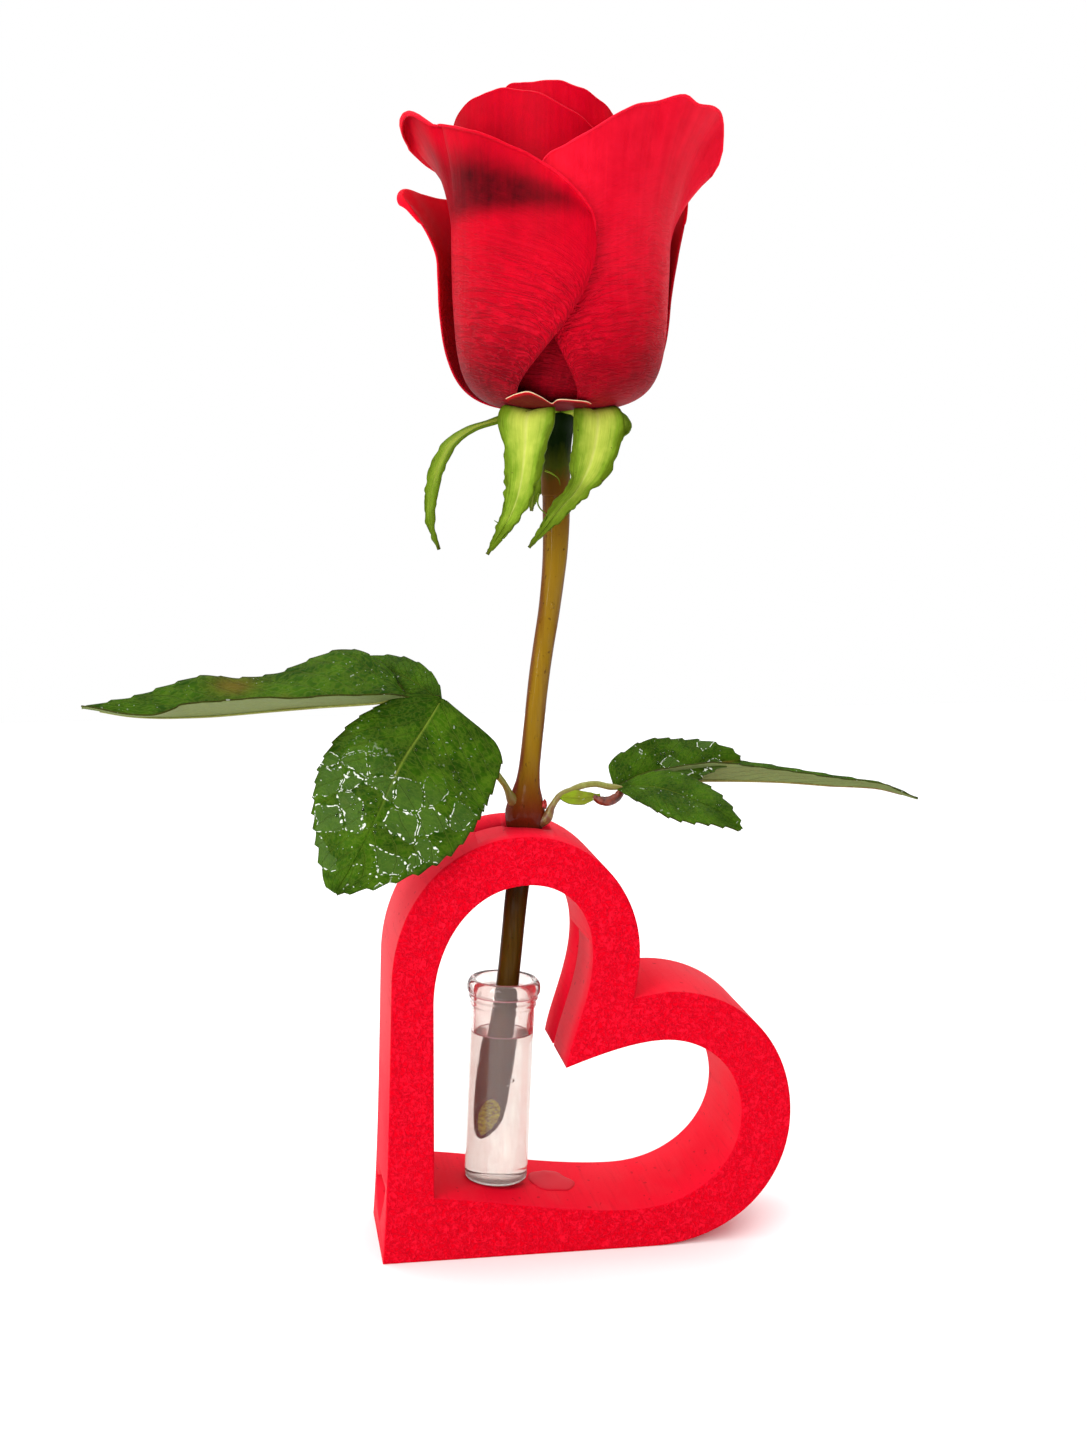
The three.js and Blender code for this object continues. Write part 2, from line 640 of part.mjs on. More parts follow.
// A point of a petal: climb runs from its root (0) to its margin (1), side from left (-1) to right (1)
function petalPoint({ place, form, lean }, climb, side) {
  const angle = (side * Math.PI) / 2;
  const sway = Math.sin(angle);
  const rounded = (1 - form.point) * Math.cos(angle) + form.point * (1 - Math.abs(sway));
  const height = climb * form.height * (form.shoulder + (1 - form.shoulder) * rounded);
  const opening = 0.55 + 0.45 * Math.sin((Math.PI / 2) * Math.min(height / SPREAD_HEIGHT, 1));
  const azimuth = radians(BLOOM_FRONT + place.azimuth + place.half * opening * sway);
  const wall = place.radius + place.spiral * sway;
  const bowl = wall - (wall - BLOOM.rootRadius) * Math.exp(-((height / BOWL.height) ** BOWL.power));
  const flare = lean.by * Math.exp(-(((sway - lean.at) / lean.wide) ** 2));
  const ramp = clamp((height - lean.from) / (form.height - lean.from), 0, 1);
  const radius = bowl + flare * ramp * ramp;
  return at(BLOOM.x + radius * Math.sin(azimuth), -radius * Math.cos(azimuth), BLOOM.baseZ + height);
}

function petalSolid(petal) {
  const climbs = [0, 0.012, 0.045, 0.12, 0.25, 0.42, 0.58, 0.74, 0.88, 1];
  const columns = 2 * Math.round(petal.place.half / 15);
  const grid = climbs.map((climb) => {
    const row = [];
    for (let j = 0; j <= columns; j += 1) row.push(petalPoint(petal, climb, (2 * j) / columns - 1));
    return row;
  });
  return solidOf(blade(grid, PETAL_THICKNESS));
}

function bloomCore() {
  const base = BLOOM.baseZ;
  const profile = [
    [0, base - 1.2], [4.4, base - 1.2], [6.6, base + 0.2], [8, base + 4], [8.4, base + 20], [7.6, base + 38],
    [5.4, base + 50], [2.6, base + 56], [0, base + 57.5],
  ].map(([r, z]) => new THREE.Vector2(r, z));
  const geometry = turned(profile, 14);
  geometry.translate(BLOOM.x, 0, 0);
  return solidOf(geometry);
}

// The named pieces

const finishes = {
  foam: { color: 0xe8122f, roughness: 0.8 },
  tube: { color: 0xe9dcd8, roughness: 0.25 },
  water: { color: 0xdfe6e4, roughness: 0.05 },
  stem: { color: 0x6f5320, roughness: 0.45 },
  leaf: { color: 0x2f6a1c, roughness: 0.4 },
  calyx: { color: 0x8fae3c, roughness: 0.5 },
  petal: { color: 0xc9061f, roughness: 0.6 },
};

function piece(name, finish, geometry) {
  const mesh = new THREE.Mesh(geometry, new THREE.MeshStandardMaterial(finishes[finish]));
  mesh.name = name;
  return mesh;
}

const rose = new THREE.Group();
rose.add(
  piece('heart_frame', 'foam', geometryOf(heart)),
  piece('tube', 'tube', tubeGeometry),
  piece('water', 'water', geometryOf(waterBody())),
  piece('stem', 'stem', geometryOf(stem)),
  piece('leaf_left', 'leaf', geometryOf(leftLeaf())),
  piece('leaf_right', 'leaf', geometryOf(rightLeaf())),
  piece('calyx', 'calyx', geometryOf(fuse([hip(), ...sepals.map(sepal)]))),
  piece('bloom', 'petal', geometryOf(fuse([bloomCore(), ...petals.map(petalSolid)]))),
);

export default rose;
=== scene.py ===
"""A cut red rose that stands in a heart-shaped foam holder, with its stem in a small clear tube of water.

Sizes in the tables are millimetres, +Z up, with the front at -Y, as in the model that the scene dresses.
"""

import math
import random
from bisect import bisect_right
from collections import namedtuple

import bmesh
import bpy
from mathutils import Matrix, Vector, noise


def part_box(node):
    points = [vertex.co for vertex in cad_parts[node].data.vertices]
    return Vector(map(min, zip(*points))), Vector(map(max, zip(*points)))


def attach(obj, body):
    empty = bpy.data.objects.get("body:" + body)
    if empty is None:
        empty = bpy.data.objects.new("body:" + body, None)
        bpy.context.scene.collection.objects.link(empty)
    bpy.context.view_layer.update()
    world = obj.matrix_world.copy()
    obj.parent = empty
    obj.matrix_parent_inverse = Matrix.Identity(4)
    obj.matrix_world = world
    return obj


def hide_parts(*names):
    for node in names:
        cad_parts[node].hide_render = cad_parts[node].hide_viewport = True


bl_info = {
    "name": "Rose in a bud vase",
    "version": (1, 0, 0),
    "blender": (4, 5, 0),
    "location": "3D View > Sidebar > Rose",
    "description": "Builds a cut rose with its leaves, its tube of water and its foam heart",
    "category": "Add Mesh",
}

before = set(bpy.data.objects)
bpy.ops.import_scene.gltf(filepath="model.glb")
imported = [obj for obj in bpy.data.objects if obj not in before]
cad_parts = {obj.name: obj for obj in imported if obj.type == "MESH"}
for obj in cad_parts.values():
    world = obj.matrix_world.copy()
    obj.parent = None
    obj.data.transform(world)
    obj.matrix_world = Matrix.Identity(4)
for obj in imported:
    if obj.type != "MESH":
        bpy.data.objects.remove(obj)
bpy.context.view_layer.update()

MM = 0.001
# Points this close, in millimetres, are merged
MERGE_REACH = 0.004
# A rail is sampled this often, and its tangent is read over this share of it on either side
RAIL_SAMPLES, RAIL_STEP = 240, 0.004
HEART_LOW, HEART_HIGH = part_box("heart_frame")


# Numbers and lines

def smooth_through(pairs):
    """A smooth function through a few (place, value) pairs in rising order of place."""
    def slope(k):
        before = pairs[max(k - 1, 0)]
        after = pairs[min(k + 1, len(pairs) - 1)]
        return (after[1] - before[1]) / (after[0] - before[0])

    def value(place):
        k = 0
        while k < len(pairs) - 2 and place > pairs[k + 1][0]:
            k += 1
        start, low = pairs[k]
        end, high = pairs[k + 1]
        span = end - start
        t = min(max((place - start) / span, 0), 1)
        rise = t * t * (3 - 2 * t)
        leave = t * (1 - t) * (1 - t) * span * slope(k)
        arrive = t * t * (t - 1) * span * slope(k + 1)
        return low + (high - low) * rise + leave + arrive

    return value


def hill(place, top, width):
    """1 at the top, falling smoothly to 0 on both sides."""
    return math.exp(-(((place - top) / width) ** 2))


def ease(place, low, high):
    """0 below low, 1 above high, and smooth between."""
    t = min(max((place - low) / (high - low), 0), 1)
    return t * t * (3 - 2 * t)


def steady(value):
    """A table for smooth_through from a single number; a table stays as it is."""
    return value if isinstance(value, list) else [(0, value), (1, value)]


def scaled(profile, size):
    """The same table with its values multiplied."""
    return [(place, width * size) for place, width in profile]


class Rail:
    """A smooth line through a few points, walked by its length from 0 to 1."""

    def __init__(self, points):
        spots = [Vector(point) for point in points]
        ends = [2 * spots[0] - spots[1], *spots, 2 * spots[-1] - spots[-2]]
        self.trail = []
        for i in range(RAIL_SAMPLES + 1):
            place = i / RAIL_SAMPLES * (len(spots) - 1)
            k = min(int(place), len(spots) - 2)
            self.trail.append(self.between(ends[k:k + 4], place - k))
        self.lengths = [0]
        for start, end in zip(self.trail, self.trail[1:]):
            self.lengths.append(self.lengths[-1] + (end - start).length)

    @staticmethod
    def between(four, t):
        """A point between the middle two of four points, with gaps counted by the root of their length."""
        gap = [max((end - start).length ** 0.5, 1e-6) for start, end in zip(four, four[1:])]
        a, b, c, d = four
        leave = (b - a) / gap[0] - (c - a) / (gap[0] + gap[1]) + (c - b) / gap[1]
        arrive = (c - b) / gap[1] - (d - b) / (gap[1] + gap[2]) + (d - c) / gap[2]
        leave *= gap[1]
        arrive *= gap[1]
        bend = -3 * b + 3 * c - 2 * leave - arrive
        twist = 2 * b - 2 * c + leave + arrive
        return b + leave * t + bend * t * t + twist * t * t * t

    def point(self, t):
        """The point at a share of the whole length."""
        walked = min(max(t, 0), 1) * self.lengths[-1]
        k = min(max(bisect_right(self.lengths, walked) - 1, 0), len(self.trail) - 2)
        part = (walked - self.lengths[k]) / (self.lengths[k + 1] - self.lengths[k])
        return self.trail[k].lerp(self.trail[k + 1], part)

    def tangent(self, t):
        return (self.point(min(t + RAIL_STEP, 1)) - self.point(max(t - RAIL_STEP, 0))).normalized()


def square_to(tangent, direction):
    """The part of a direction that is square to a tangent, at length 1."""
    return (direction - tangent * direction.dot(tangent)).normalized()


def around(radius, angle, height=0):
    """A point at a radius and an angle round the upright axis, counted from +X."""
    return Vector((radius * math.cos(angle), radius * math.sin(angle), height))


# Meshes

def new_mesh(*marks):
    """An empty mesh with a UV map and, for each mark, a number at each point that a material reads."""
    bm = bmesh.new()
    bm.loops.layers.uv.new("UVMap")
    for mark in marks:
        bm.verts.layers.float.new(mark)
    return bm


def lay_sheet(bm, columns, rows, spot, marks=None):
    """Adds a grid and moves each point to spot(side, climb): side from -1 to 1, and climb from 0 to 1."""
    grid = bmesh.ops.create_grid(bm, x_segments=columns, y_segments=rows, size=1, calc_uvs=True)
    measures = [(bm.verts.layers.float[mark], measure) for mark, measure in (marks or {}).items()]
    for vert in grid["verts"]:
        side, climb = vert.co.x, (vert.co.y + 1) / 2
        for layer, measure in measures:
            vert[layer] = measure(side, climb)
        vert.co = spot(side, climb) * MM
    return grid["verts"]


def close_holes(bm):
    """Closes every open edge loop, and returns the new faces."""
    rims = [edge for edge in bm.edges if edge.is_boundary]
    return bmesh.ops.holes_fill(bm, edges=rims, sides=0)["faces"]


def lay_bar(bm, rail, sides, rows, radii, reference=(0, 1, 0)):
    """Adds a closed round bar along a rail; radii(t, centre) gives its two half widths."""
    toward = Vector(reference)

    def spot(side, climb):
        centre = rail.point(climb)
        tangent = rail.tangent(climb)
        first = square_to(tangent, toward)
        second = tangent.cross(first)
        along_first, along_second = radii(climb, centre)
        angle = side * math.pi
        return centre + first * along_first * math.cos(angle) + second * along_second * math.sin(angle)

    verts = lay_sheet(bm, sides, rows, spot)
    bmesh.ops.remove_doubles(bm, verts=verts, dist=MERGE_REACH * MM)
    close_holes(bm)
    return [vert for vert in verts if vert.is_valid]


def lay_spin(bm, profile, steps, axis_x=0):
    """Turns a profile of (radius, height) about an upright axis and closes its poles."""
    verts = [bm.verts.new(((axis_x + r) * MM, 0, z * MM)) for r, z in profile]
    edges = [bm.edges.new(pair) for pair in zip(verts, verts[1:])]
    bmesh.ops.spin(
        bm, geom=verts + edges, cent=(axis_x * MM, 0, 0), axis=(0, 0, 1), angle=2 * math.pi, steps=steps,
        use_merge=True,
    )
    bmesh.ops.remove_doubles(bm, verts=bm.verts[:], dist=MERGE_REACH * MM)
    bmesh.ops.recalc_face_normals(bm, faces=bm.faces[:])


def rounded_corners(profile, radius, steps=4):
    """Rounds the corners of a (radius, height) profile; radius is a limit, and short sides get less."""
    spots = [Vector(point) for point in profile]
    out = [spots[0]]
    for before, corner, after in zip(spots, spots[1:], spots[2:]):
        reach = min(radius, (before - corner).length * 0.45, (after - corner).length * 0.45)
        start = corner + (before - corner).normalized() * reach
        end = corner + (after - corner).normalized() * reach
        for k in range(steps + 1):
            t = k / steps
            out.append(start * (1 - t) ** 2 + corner * 2 * t * (1 - t) + end * t * t)
    out.append(spots[-1])
    return out


def prism(outline, push):
    """A closed block: a flat outline pushed along a vector."""
    bm = new_mesh()
    face = bm.faces.new([bm.verts.new(Vector(point) * MM) for point in outline])
    pushed = bmesh.ops.extrude_face_region(bm, geom=[face])
    moved = [item for item in pushed["geom"] if isinstance(item, bmesh.types.BMVert)]
    bmesh.ops.translate(bm, verts=moved, vec=Vector(push) * MM)
    bmesh.ops.recalc_face_normals(bm, faces=bm.faces[:])
    return bm


def lay_ball(bm, centre, radius, stretch=(1, 1, 1), turn=None, rounds=2):
    """Adds a ball, stretched along its own axes and then turned."""
    place = Matrix.LocRotScale(centre * MM, turn, Vector(stretch))
    bmesh.ops.create_icosphere(bm, subdivisions=rounds, radius=radius * MM, matrix=place)


def make_piece(name, bm, *materials, thickness=0):
    """Makes a smooth object; a thickness is for a sheet, whose second material goes on its other face."""
    mesh = bpy.data.meshes.new(name)
    bm.to_mesh(mesh)
    bm.free()
    mesh.shade_smooth()
    for material in materials:
        mesh.materials.append(material)
    piece = bpy.data.objects.new(name, mesh)
    bpy.context.scene.collection.objects.link(piece)
    if thickness:
        wall = piece.modifiers.new("thickness", "SOLIDIFY")
        wall.thickness = thickness
        wall.offset = 0
        wall.material_offset = len(materials) - 1
        wall.use_even_offset = False
    return piece


def settle(piece):
    """Replaces a piece's mesh by what its modifiers make of it."""
    shown = piece.evaluated_get(bpy.context.evaluated_depsgraph_get())
    mesh = bpy.data.meshes.new_from_object(shown)
    piece.modifiers.clear()
    piece.data = mesh


def carve(piece, bm):
    """Cuts a shape out of a piece."""
    cutter = make_piece("cutter", bm)
    cut = piece.modifiers.new("cut", "BOOLEAN")
    cut.operation = "DIFFERENCE"
    cut.solver = "EXACT"
    cut.object = cutter
    settle(piece)
    bpy.data.objects.remove(cutter)


def mount(piece, slot, *nodes):
    """Hangs a piece on the root body and hides the model's parts that it stands for; its slot is not used."""
    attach(piece, "root")
    if nodes:
        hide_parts(*nodes)


# Materials

class Value:
    """A socket in a material, so that maths on surfaces can be written as expressions."""

    def __init__(self, wiring, socket):
        self.wiring = wiring
        self.socket = socket

    def apply(self, operation, *others):
        return self.wiring.maths(operation, self, *others)

    def __add__(self, other):
        return self.apply("ADD", other)

    __radd__ = __add__

    def __sub__(self, other):
        return self.apply("SUBTRACT", other)

    def __rsub__(self, other):
        return self.wiring.maths("SUBTRACT", other, self)

    def __mul__(self, other):
        return self.apply("MULTIPLY", other)

    __rmul__ = __mul__

    def __truediv__(self, other):
        return self.apply("DIVIDE", other)

    def size(self):
        return self.apply("ABSOLUTE")

    def least(self, other):
        return self.apply("MINIMUM", other)

    def most(self, other):
        return self.apply("MAXIMUM", other)

    def part(self):
        return self.apply("FRACT")

    def ease(self, low, high):
        """0 below low, 1 above high, and smooth between; low may be above high."""
        return self.wiring.node(
            "ShaderNodeMapRange", {"interpolation_type": "SMOOTHSTEP"},
            {"Value": self, "From Min": low, "From Max": high},
        ).out("Result")


class Node:
    """A node that was added to a tree."""

    def __init__(self, wiring, made):
        self.wiring = wiring
        self.made = made

    def out(self, label=0):
        return Value(self.wiring, self.made.outputs[label])


class Wiring:
    """Adds nodes to one node tree."""

    def __init__(self, tree):
        self.tree = tree

    def node(self, kind, settings=None, inputs=None):
        made = self.tree.nodes.new(kind)
        for label, setting in (settings or {}).items():
            if label == "stops":
                self.set_stops(made.color_ramp, setting)
            else:
                setattr(made, label, setting)
        for label, value in (inputs or {}).items():
            self.feed(made.inputs[label], value)
        return Node(self, made)

    @staticmethod
    def set_stops(ramp, stops):
        while len(ramp.elements) < len(stops):
            ramp.elements.new(1)
        for element, (place, colour) in zip(ramp.elements, stops):
            element.position = place
            element.color = (*colour, 1)

    def feed(self, socket, value):
        if isinstance(value, Value):
            self.tree.links.new(value.socket, socket)
        elif socket.type == "RGBA" and len(value) == 3:
            socket.default_value = (*value, 1)
        else:
            socket.default_value = value

    def maths(self, operation, *terms):
        return self.node("ShaderNodeMath", {"operation": operation}, dict(enumerate(terms))).out()

    def vector_maths(self, operation, *terms):
        return self.node("ShaderNodeVectorMath", {"operation": operation}, dict(enumerate(terms))).out()

    def blend(self, first, second, share):
        """A colour between two colours."""
        return self.node(
            "ShaderNodeMix", {"data_type": "RGBA"}, {0: share, 6: first, 7: second},
        ).out(2)

    def ramp(self, value, *stops):
        return self.node("ShaderNodeValToRGB", {"stops": stops}, {0: value}).out(0)

    def split(self, vector):
        parts = self.node("ShaderNodeSeparateXYZ", None, {0: vector})
        return parts.out(0), parts.out(1), parts.out(2)


class Finish(Wiring):
    """One material on the Principled shader."""

    def __init__(self, name, constants=None):
        self.material = bpy.data.materials.new(name)
        self.material.use_nodes = True
        super().__init__(self.material.node_tree)
        self.shader = self.tree.nodes["Principled BSDF"]
        self.set(constants or {})

    def set(self, inputs):
        for label, value in inputs.items():
            self.feed(self.shader.inputs[label], value)

    def place(self, x=1, y=1, z=1):
        """Object coordinates in millimetres, stretched along each axis."""
        spot = self.node("ShaderNodeTexCoord").out("Object")
        return self.vector_maths("MULTIPLY", spot, (x / MM, y / MM, z / MM))

    def surface(self, across=1, along=1):
        """The piece's own coordinates over its surface, from 0 to 1 and then stretched."""
        spot = self.node("ShaderNodeUVMap", {"uv_map": "UVMap"}).out("UV")
        return self.vector_maths("MULTIPLY", spot, (across, along, 1))

    def mark(self, name):
        """A number that the mesh holds at each of its points."""
        return self.node("ShaderNodeAttribute", {"attribute_name": name}).out("Fac")

    def cloud(self, where, scale, detail=2, roughness=0.5, distortion=0):
        """Smooth noise from about 0.2 to 0.8."""
        return self.node("ShaderNodeTexNoise", None, {
            "Vector": where, "Scale": scale, "Detail": detail, "Roughness": roughness,
            "Distortion": distortion,
        }).out(0)

    def warped(self, where, scale, reach):
        """The same place, pushed about by noise."""
        push = self.node("ShaderNodeTexNoise", None, {"Vector": where, "Scale": scale}).out(1)
        push = self.vector_maths("SUBTRACT", push, (0.5, 0.5, 0.5))
        push = self.vector_maths("MULTIPLY", push, (reach, reach, reach))
        return self.vector_maths("ADD", where, push)

    def cells(self, where, scale):
        """Irregular cells: how far a place is from its cell's edge, and a random number for its cell."""
        kind = "ShaderNodeTexVoronoi"
        edge = self.node(kind, {"feature": "DISTANCE_TO_EDGE"}, {"Vector": where, "Scale": scale}).out(0)
        tint = self.node(kind, {"feature": "F1"}, {"Vector": where, "Scale": scale}).out("Color")
        return edge, self.split(tint)[0]

    def threads(self, cloud, sharpness):
        """Thin winding lines, where the noise passes its middle value."""
        return 1 - ((cloud - 0.5).size() * sharpness).least(1)

    def relief(self, height, depth_mm, strength=1):
        inputs = {"Height": height, "Distance": depth_mm * MM, "Strength": strength}
        return self.node("ShaderNodeBump", None, inputs).out()


WATER_COLOUR = (0.95, 0.97, 0.96)
AIR_COLOURS = (0.98, 0.98, 0.98), (0.9, 0.92, 0.92)
PAPER_WHITE = (0.95, 0.95, 0.95)


def foam_finish(colours):
    """Closed-cell foam: cut faces with a wandering grain, and smoother skin on the walls, with a painted
    sheen on the left wall and the right lobe.
    """
    foam = Finish("heart_foam", {"Specular IOR Level": 0.025})
    where = foam.place()
    x, y, z = foam.split(where)
    half_depth = HEART_HIGH.y / MM
    cut_face = y.size().ease(half_depth - 0.4, half_depth - 0.1)
    # The left wall and the top of the right lobe are painted pale pink: a painted sheen of glancing light; a
    # little random dust is mixed in elsewhere
    sheen_on_left_wall = x.ease(-18, -30) * z.ease(30, 60)
    sheen_on_right_lobe = x.ease(30, 44) * z.ease(50, 56)
    coarse = foam.threads(foam.cloud(where, 0.7, 1, 0.5, 0.9), 14)
    fine = foam.threads(foam.cloud(foam.place(1.03, 1, 0.97), 1.1, 1, 0.5, 0.6), 12)
    grain = coarse.most(fine * 0.7)
    mottle = foam.cloud(where, 0.12, 3, 0.6)
    # The raised grain lines are painted lighter: a painted highlight on their crests, over the real grain of
    # the bump
    face = foam.blend(colours.face, colours.grain_highlight, grain * 0.7)
    face = foam.blend(face, colours.shade, mottle.ease(0.5, 0.8) * 0.08)
    streaks = foam.cloud(foam.place(0.9, 0.05, 0.9), 1, 3, 0.6)
    cloudy = foam.cloud(foam.place(1, 0.5, 1), 0.09, 3, 0.6)
    dust_and_sheen_mask = cloudy.ease(0.45, 0.7) * 0.1 + sheen_on_left_wall * 0.5 + sheen_on_right_lobe * 0.2
    wall = foam.blend(colours.wall, colours.dust_and_sheen, dust_and_sheen_mask.least(1))
    wall = foam.blend(wall, colours.shade, streaks.ease(0.52, 0.75) * 0.17)
    pits = foam.cloud(where, 1.6, 2, 0.5)
    speck = foam.cloud(foam.place(1, 0.6, 1), 0.8, 1).ease(0.71, 0.74)
    wall = foam.blend(wall, colours.shade, speck * 0.5)
    foam.set({
        "Base Color": foam.blend(wall, face, cut_face),
        "Roughness": 0.54 + cut_face * 0.2 + pits * 0.12,
        "Normal": foam.relief(grain * cut_face + streaks * (1 - cut_face) * 0.4 + pits * 0.2, 0.2),
    })
    return foam.material


def tube_finish(settings):
    """Clear moulded plastic, a little cloudy."""
    tube = Finish("tube_plastic", {"IOR": 1.36, "Transmission Weight": 0.95, "Specular IOR Level": 0.35})
    where = tube.place(1, 1, 0.25)
    haze = tube.cloud(where, 0.8, 3, 0.6)
    tube.set({
        "Base Color": tube.blend(settings.clear, settings.tint, haze.ease(0.3, 0.75) * 0.6),
        "Roughness": 0.07 + haze.ease(0.45, 0.8) * 0.12,
        "Normal": tube.relief(haze, 0.08, 0.4),
    })
    return tube.material


def water_finish(name="clear_water"):
    """Clear water with a barely moving surface."""
    water = Finish(name, {"IOR": 1.33, "Transmission Weight": 1.0, "Base Color": WATER_COLOUR})
    ripple = water.cloud(water.place(), 0.35, 2)
    water.set({"Roughness": ripple * 0.03, "Normal": water.relief(ripple, 0.05, 0.4)})
    return water.material


def film_finish(colour):
    """Foam under a thin film of water, darker and with a light gloss."""
    film = Finish("wet_film", {"Base Color": colour, "Specular IOR Level": 0.03})
    ripple = film.cloud(film.place(), 0.35, 2)
    film.set({"Roughness": ripple * 0.15 + 0.3, "Normal": film.relief(ripple, 0.05, 0.4)})
    return film.material


def stem_finish(colours):
    """Smooth bark that turns from dark brown in the heart to olive and green under the bloom."""
    stem = Finish("stem_bark", {"Specular IOR Level": 0.02, "Coat Roughness": 0.05})
    _, depth, height = stem.split(stem.place())
    fibres = stem.cloud(stem.place(1.5, 1.5, 0.05), 1, 3, 0.6)
    blotch = stem.cloud(stem.place(1, 1, 0.35), 0.35, 3, 0.6)
    # The ramp runs over 200 mm of height, and the borders between its colours waver
    along = stem.ramp(
        (height + blotch * 9 - 4.5) / 200,
        # The stem is darkest where it passes through the heart
        (0.0, colours.wet), (0.24, colours.wet), (0.29, colours.inside_heart), (0.47, colours.inside_heart),
        (0.49, colours.node), (0.54, colours.node), (0.58, colours.bark), (0.855, colours.bark),
    )
    streaks = stem.cloud(stem.place(0.9, 0.9, 0.02), 0.8, 1)
    # lit_side paints the front and back of the stem above the node a lighter gold and leaves its sides darker
    # brown: a painted highlight; below the node the gold follows fibre streaks
    lit_side = (depth.size() + streaks * 1.6).ease(1.6, 3)
    above_node = height.ease(98, 114) * height.ease(177, 156)
    below_node = height.ease(90, 70)
    golden_sheen_and_streaks = (lit_side * 0.85 + fibres.ease(0.5, 0.78) * 0.25) * above_node + below_node * fibres * 0.3
    colour = stem.blend(along, colours.streak, golden_sheen_and_streaks.least(1))
    speck = stem.cloud(stem.place(1, 1, 0.6), 1.1, 2).ease(0.68, 0.74)
    colour = stem.blend(colour, colours.speck, speck * 0.6)
    stem.set({
        "Base Color": colour,
        "Roughness": 0.26 + fibres * 0.2,
        "Coat Weight": blotch.ease(0.4, 0.6) * 0.2,
        "Normal": stem.relief(fibres + speck * 0.5, 0.18, 0.8),
    })
    return stem.material


def mottled_finish(name, specular, scale, detail, stops, smoothest, roughest, relief_mm):
    """A skin that goes between colours with smooth noise, and is rougher and higher where that is high."""
    skin = Finish(name, {"Specular IOR Level": specular})
    mottle = skin.cloud(skin.place(), scale, detail)
    skin.set({
        "Base Color": skin.ramp(mottle, *stops),
        "Roughness": smoothest + mottle * (roughest - smoothest),
        "Normal": skin.relief(mottle, relief_mm),
    })
    return skin.material


def cut_finish(colours):
    """The pale pith of the slanting cut."""
    stops = (0.3, colours.pith), (0.7, colours.streak)
    return mottled_finish("stem_cut", 0.4, 1.6, 3, stops, smoothest=0.5, roughest=0.7, relief_mm=0.15)


def bud_finish(colours):
    """The red scales of the side bud."""
    stops = (0.3, colours.bud), (0.7, colours.bud_shade)
    return mottled_finish("bud_scales", 0.4, 1.5, 2, stops, smoothest=0.4, roughest=0.6, relief_mm=0.1)


def dry_finish(colours):
    """The glossy brown skin of the dried curl."""
    stops = (0.35, colours.dry_shade), (0.65, colours.dry)
    return mottled_finish("dried_curl", 0.5, 0.9, 3, stops, smoothest=0.3, roughest=0.55, relief_mm=0.3)


def leaf_finish(name, colours, light, dark, roughness, relief_mm, wetness=1):
    """A leaflet's skin: side veins that curve forward from the midrib, quilting, stains, and wet films with
    painted glints along their broken edges and in specks.
    """
    leaf = Finish(name, {"Specular IOR Level": 0.03, "Coat Roughness": 0.12})
    across, along, _ = leaf.split(leaf.surface())
    offset = (across - 0.5).size() * 2
    wander = leaf.cloud(leaf.surface(4, 8), 1, 2) * 0.6
    ladder = along * SIDE_VEINS - offset * VEIN_SWEEP + wander
    vein_line = 1 - ((ladder.part() - 0.5).size() * 2 * 10).least(1)
    midrib = 1 - (offset * 34).least(1)
    net = leaf.threads(leaf.cloud(leaf.surface(16, 34), 1, 2, 0.6), 9)
    mottle = leaf.cloud(leaf.place(), 0.16, 3, 0.6)
    colour = leaf.blend(dark, light, mottle.ease(0.35, 0.7))
    veins = (vein_line * 0.13).most(net * 0.08).most(midrib * along.ease(0.8, 0.3) * 0.36)
    colour = leaf.blend(colour, colours.vein, veins)
    colour = leaf.blend(colour, colours.stain, leaf.mark("stain"))
    colour = leaf.blend(colour, colours.margin, offset.ease(0.975, 1) * 0.7)
    edge, random_cell = leaf.cells(leaf.warped(leaf.place(), 0.3, 2.6), 0.17)
    wet = leaf.mark("wet") * wetness
    wet_cell = random_cell.ease(0.52, 0.56) * wet
    film = wet_cell * edge.ease(0.03, 0.05)
    broken = leaf.cloud(leaf.place(), 1.1, 2).ease(0.5, 0.56)
    shore = wet_cell * edge.ease(0.075, 0.055) * edge.ease(0.02, 0.035) * broken
    sprayed = leaf.cloud(leaf.place(), 0.1, 1).ease(0.45, 0.6)
    spots = leaf.cloud(leaf.place(), 1.5, 0).ease(0.775, 0.795) * sprayed
    colour = leaf.blend(colour, colours.film, film * 0.5)
    # The broken lines at the films' edges and the specks are painted near white: painted glints of light on
    # the water
    painted_glint = shore.most(spots * (wet * 0.55 + 0.25 * wetness))
    colour = leaf.blend(colour, colours.painted_glint, painted_glint)
    grain = leaf.cloud(leaf.place(), 1.4, 2)
    heights = vein_line * -0.5 + midrib * -0.8 + net * -0.2 + grain * 0.15 + painted_glint * 0.6
    leaf.set({
        "Base Color": colour,
        "Roughness": roughness + grain * 0.16 - film * 0.1,
        "Coat Weight": film * 0.03,
        "Normal": leaf.relief(heights, relief_mm, 0.9),
    })
    return leaf.material


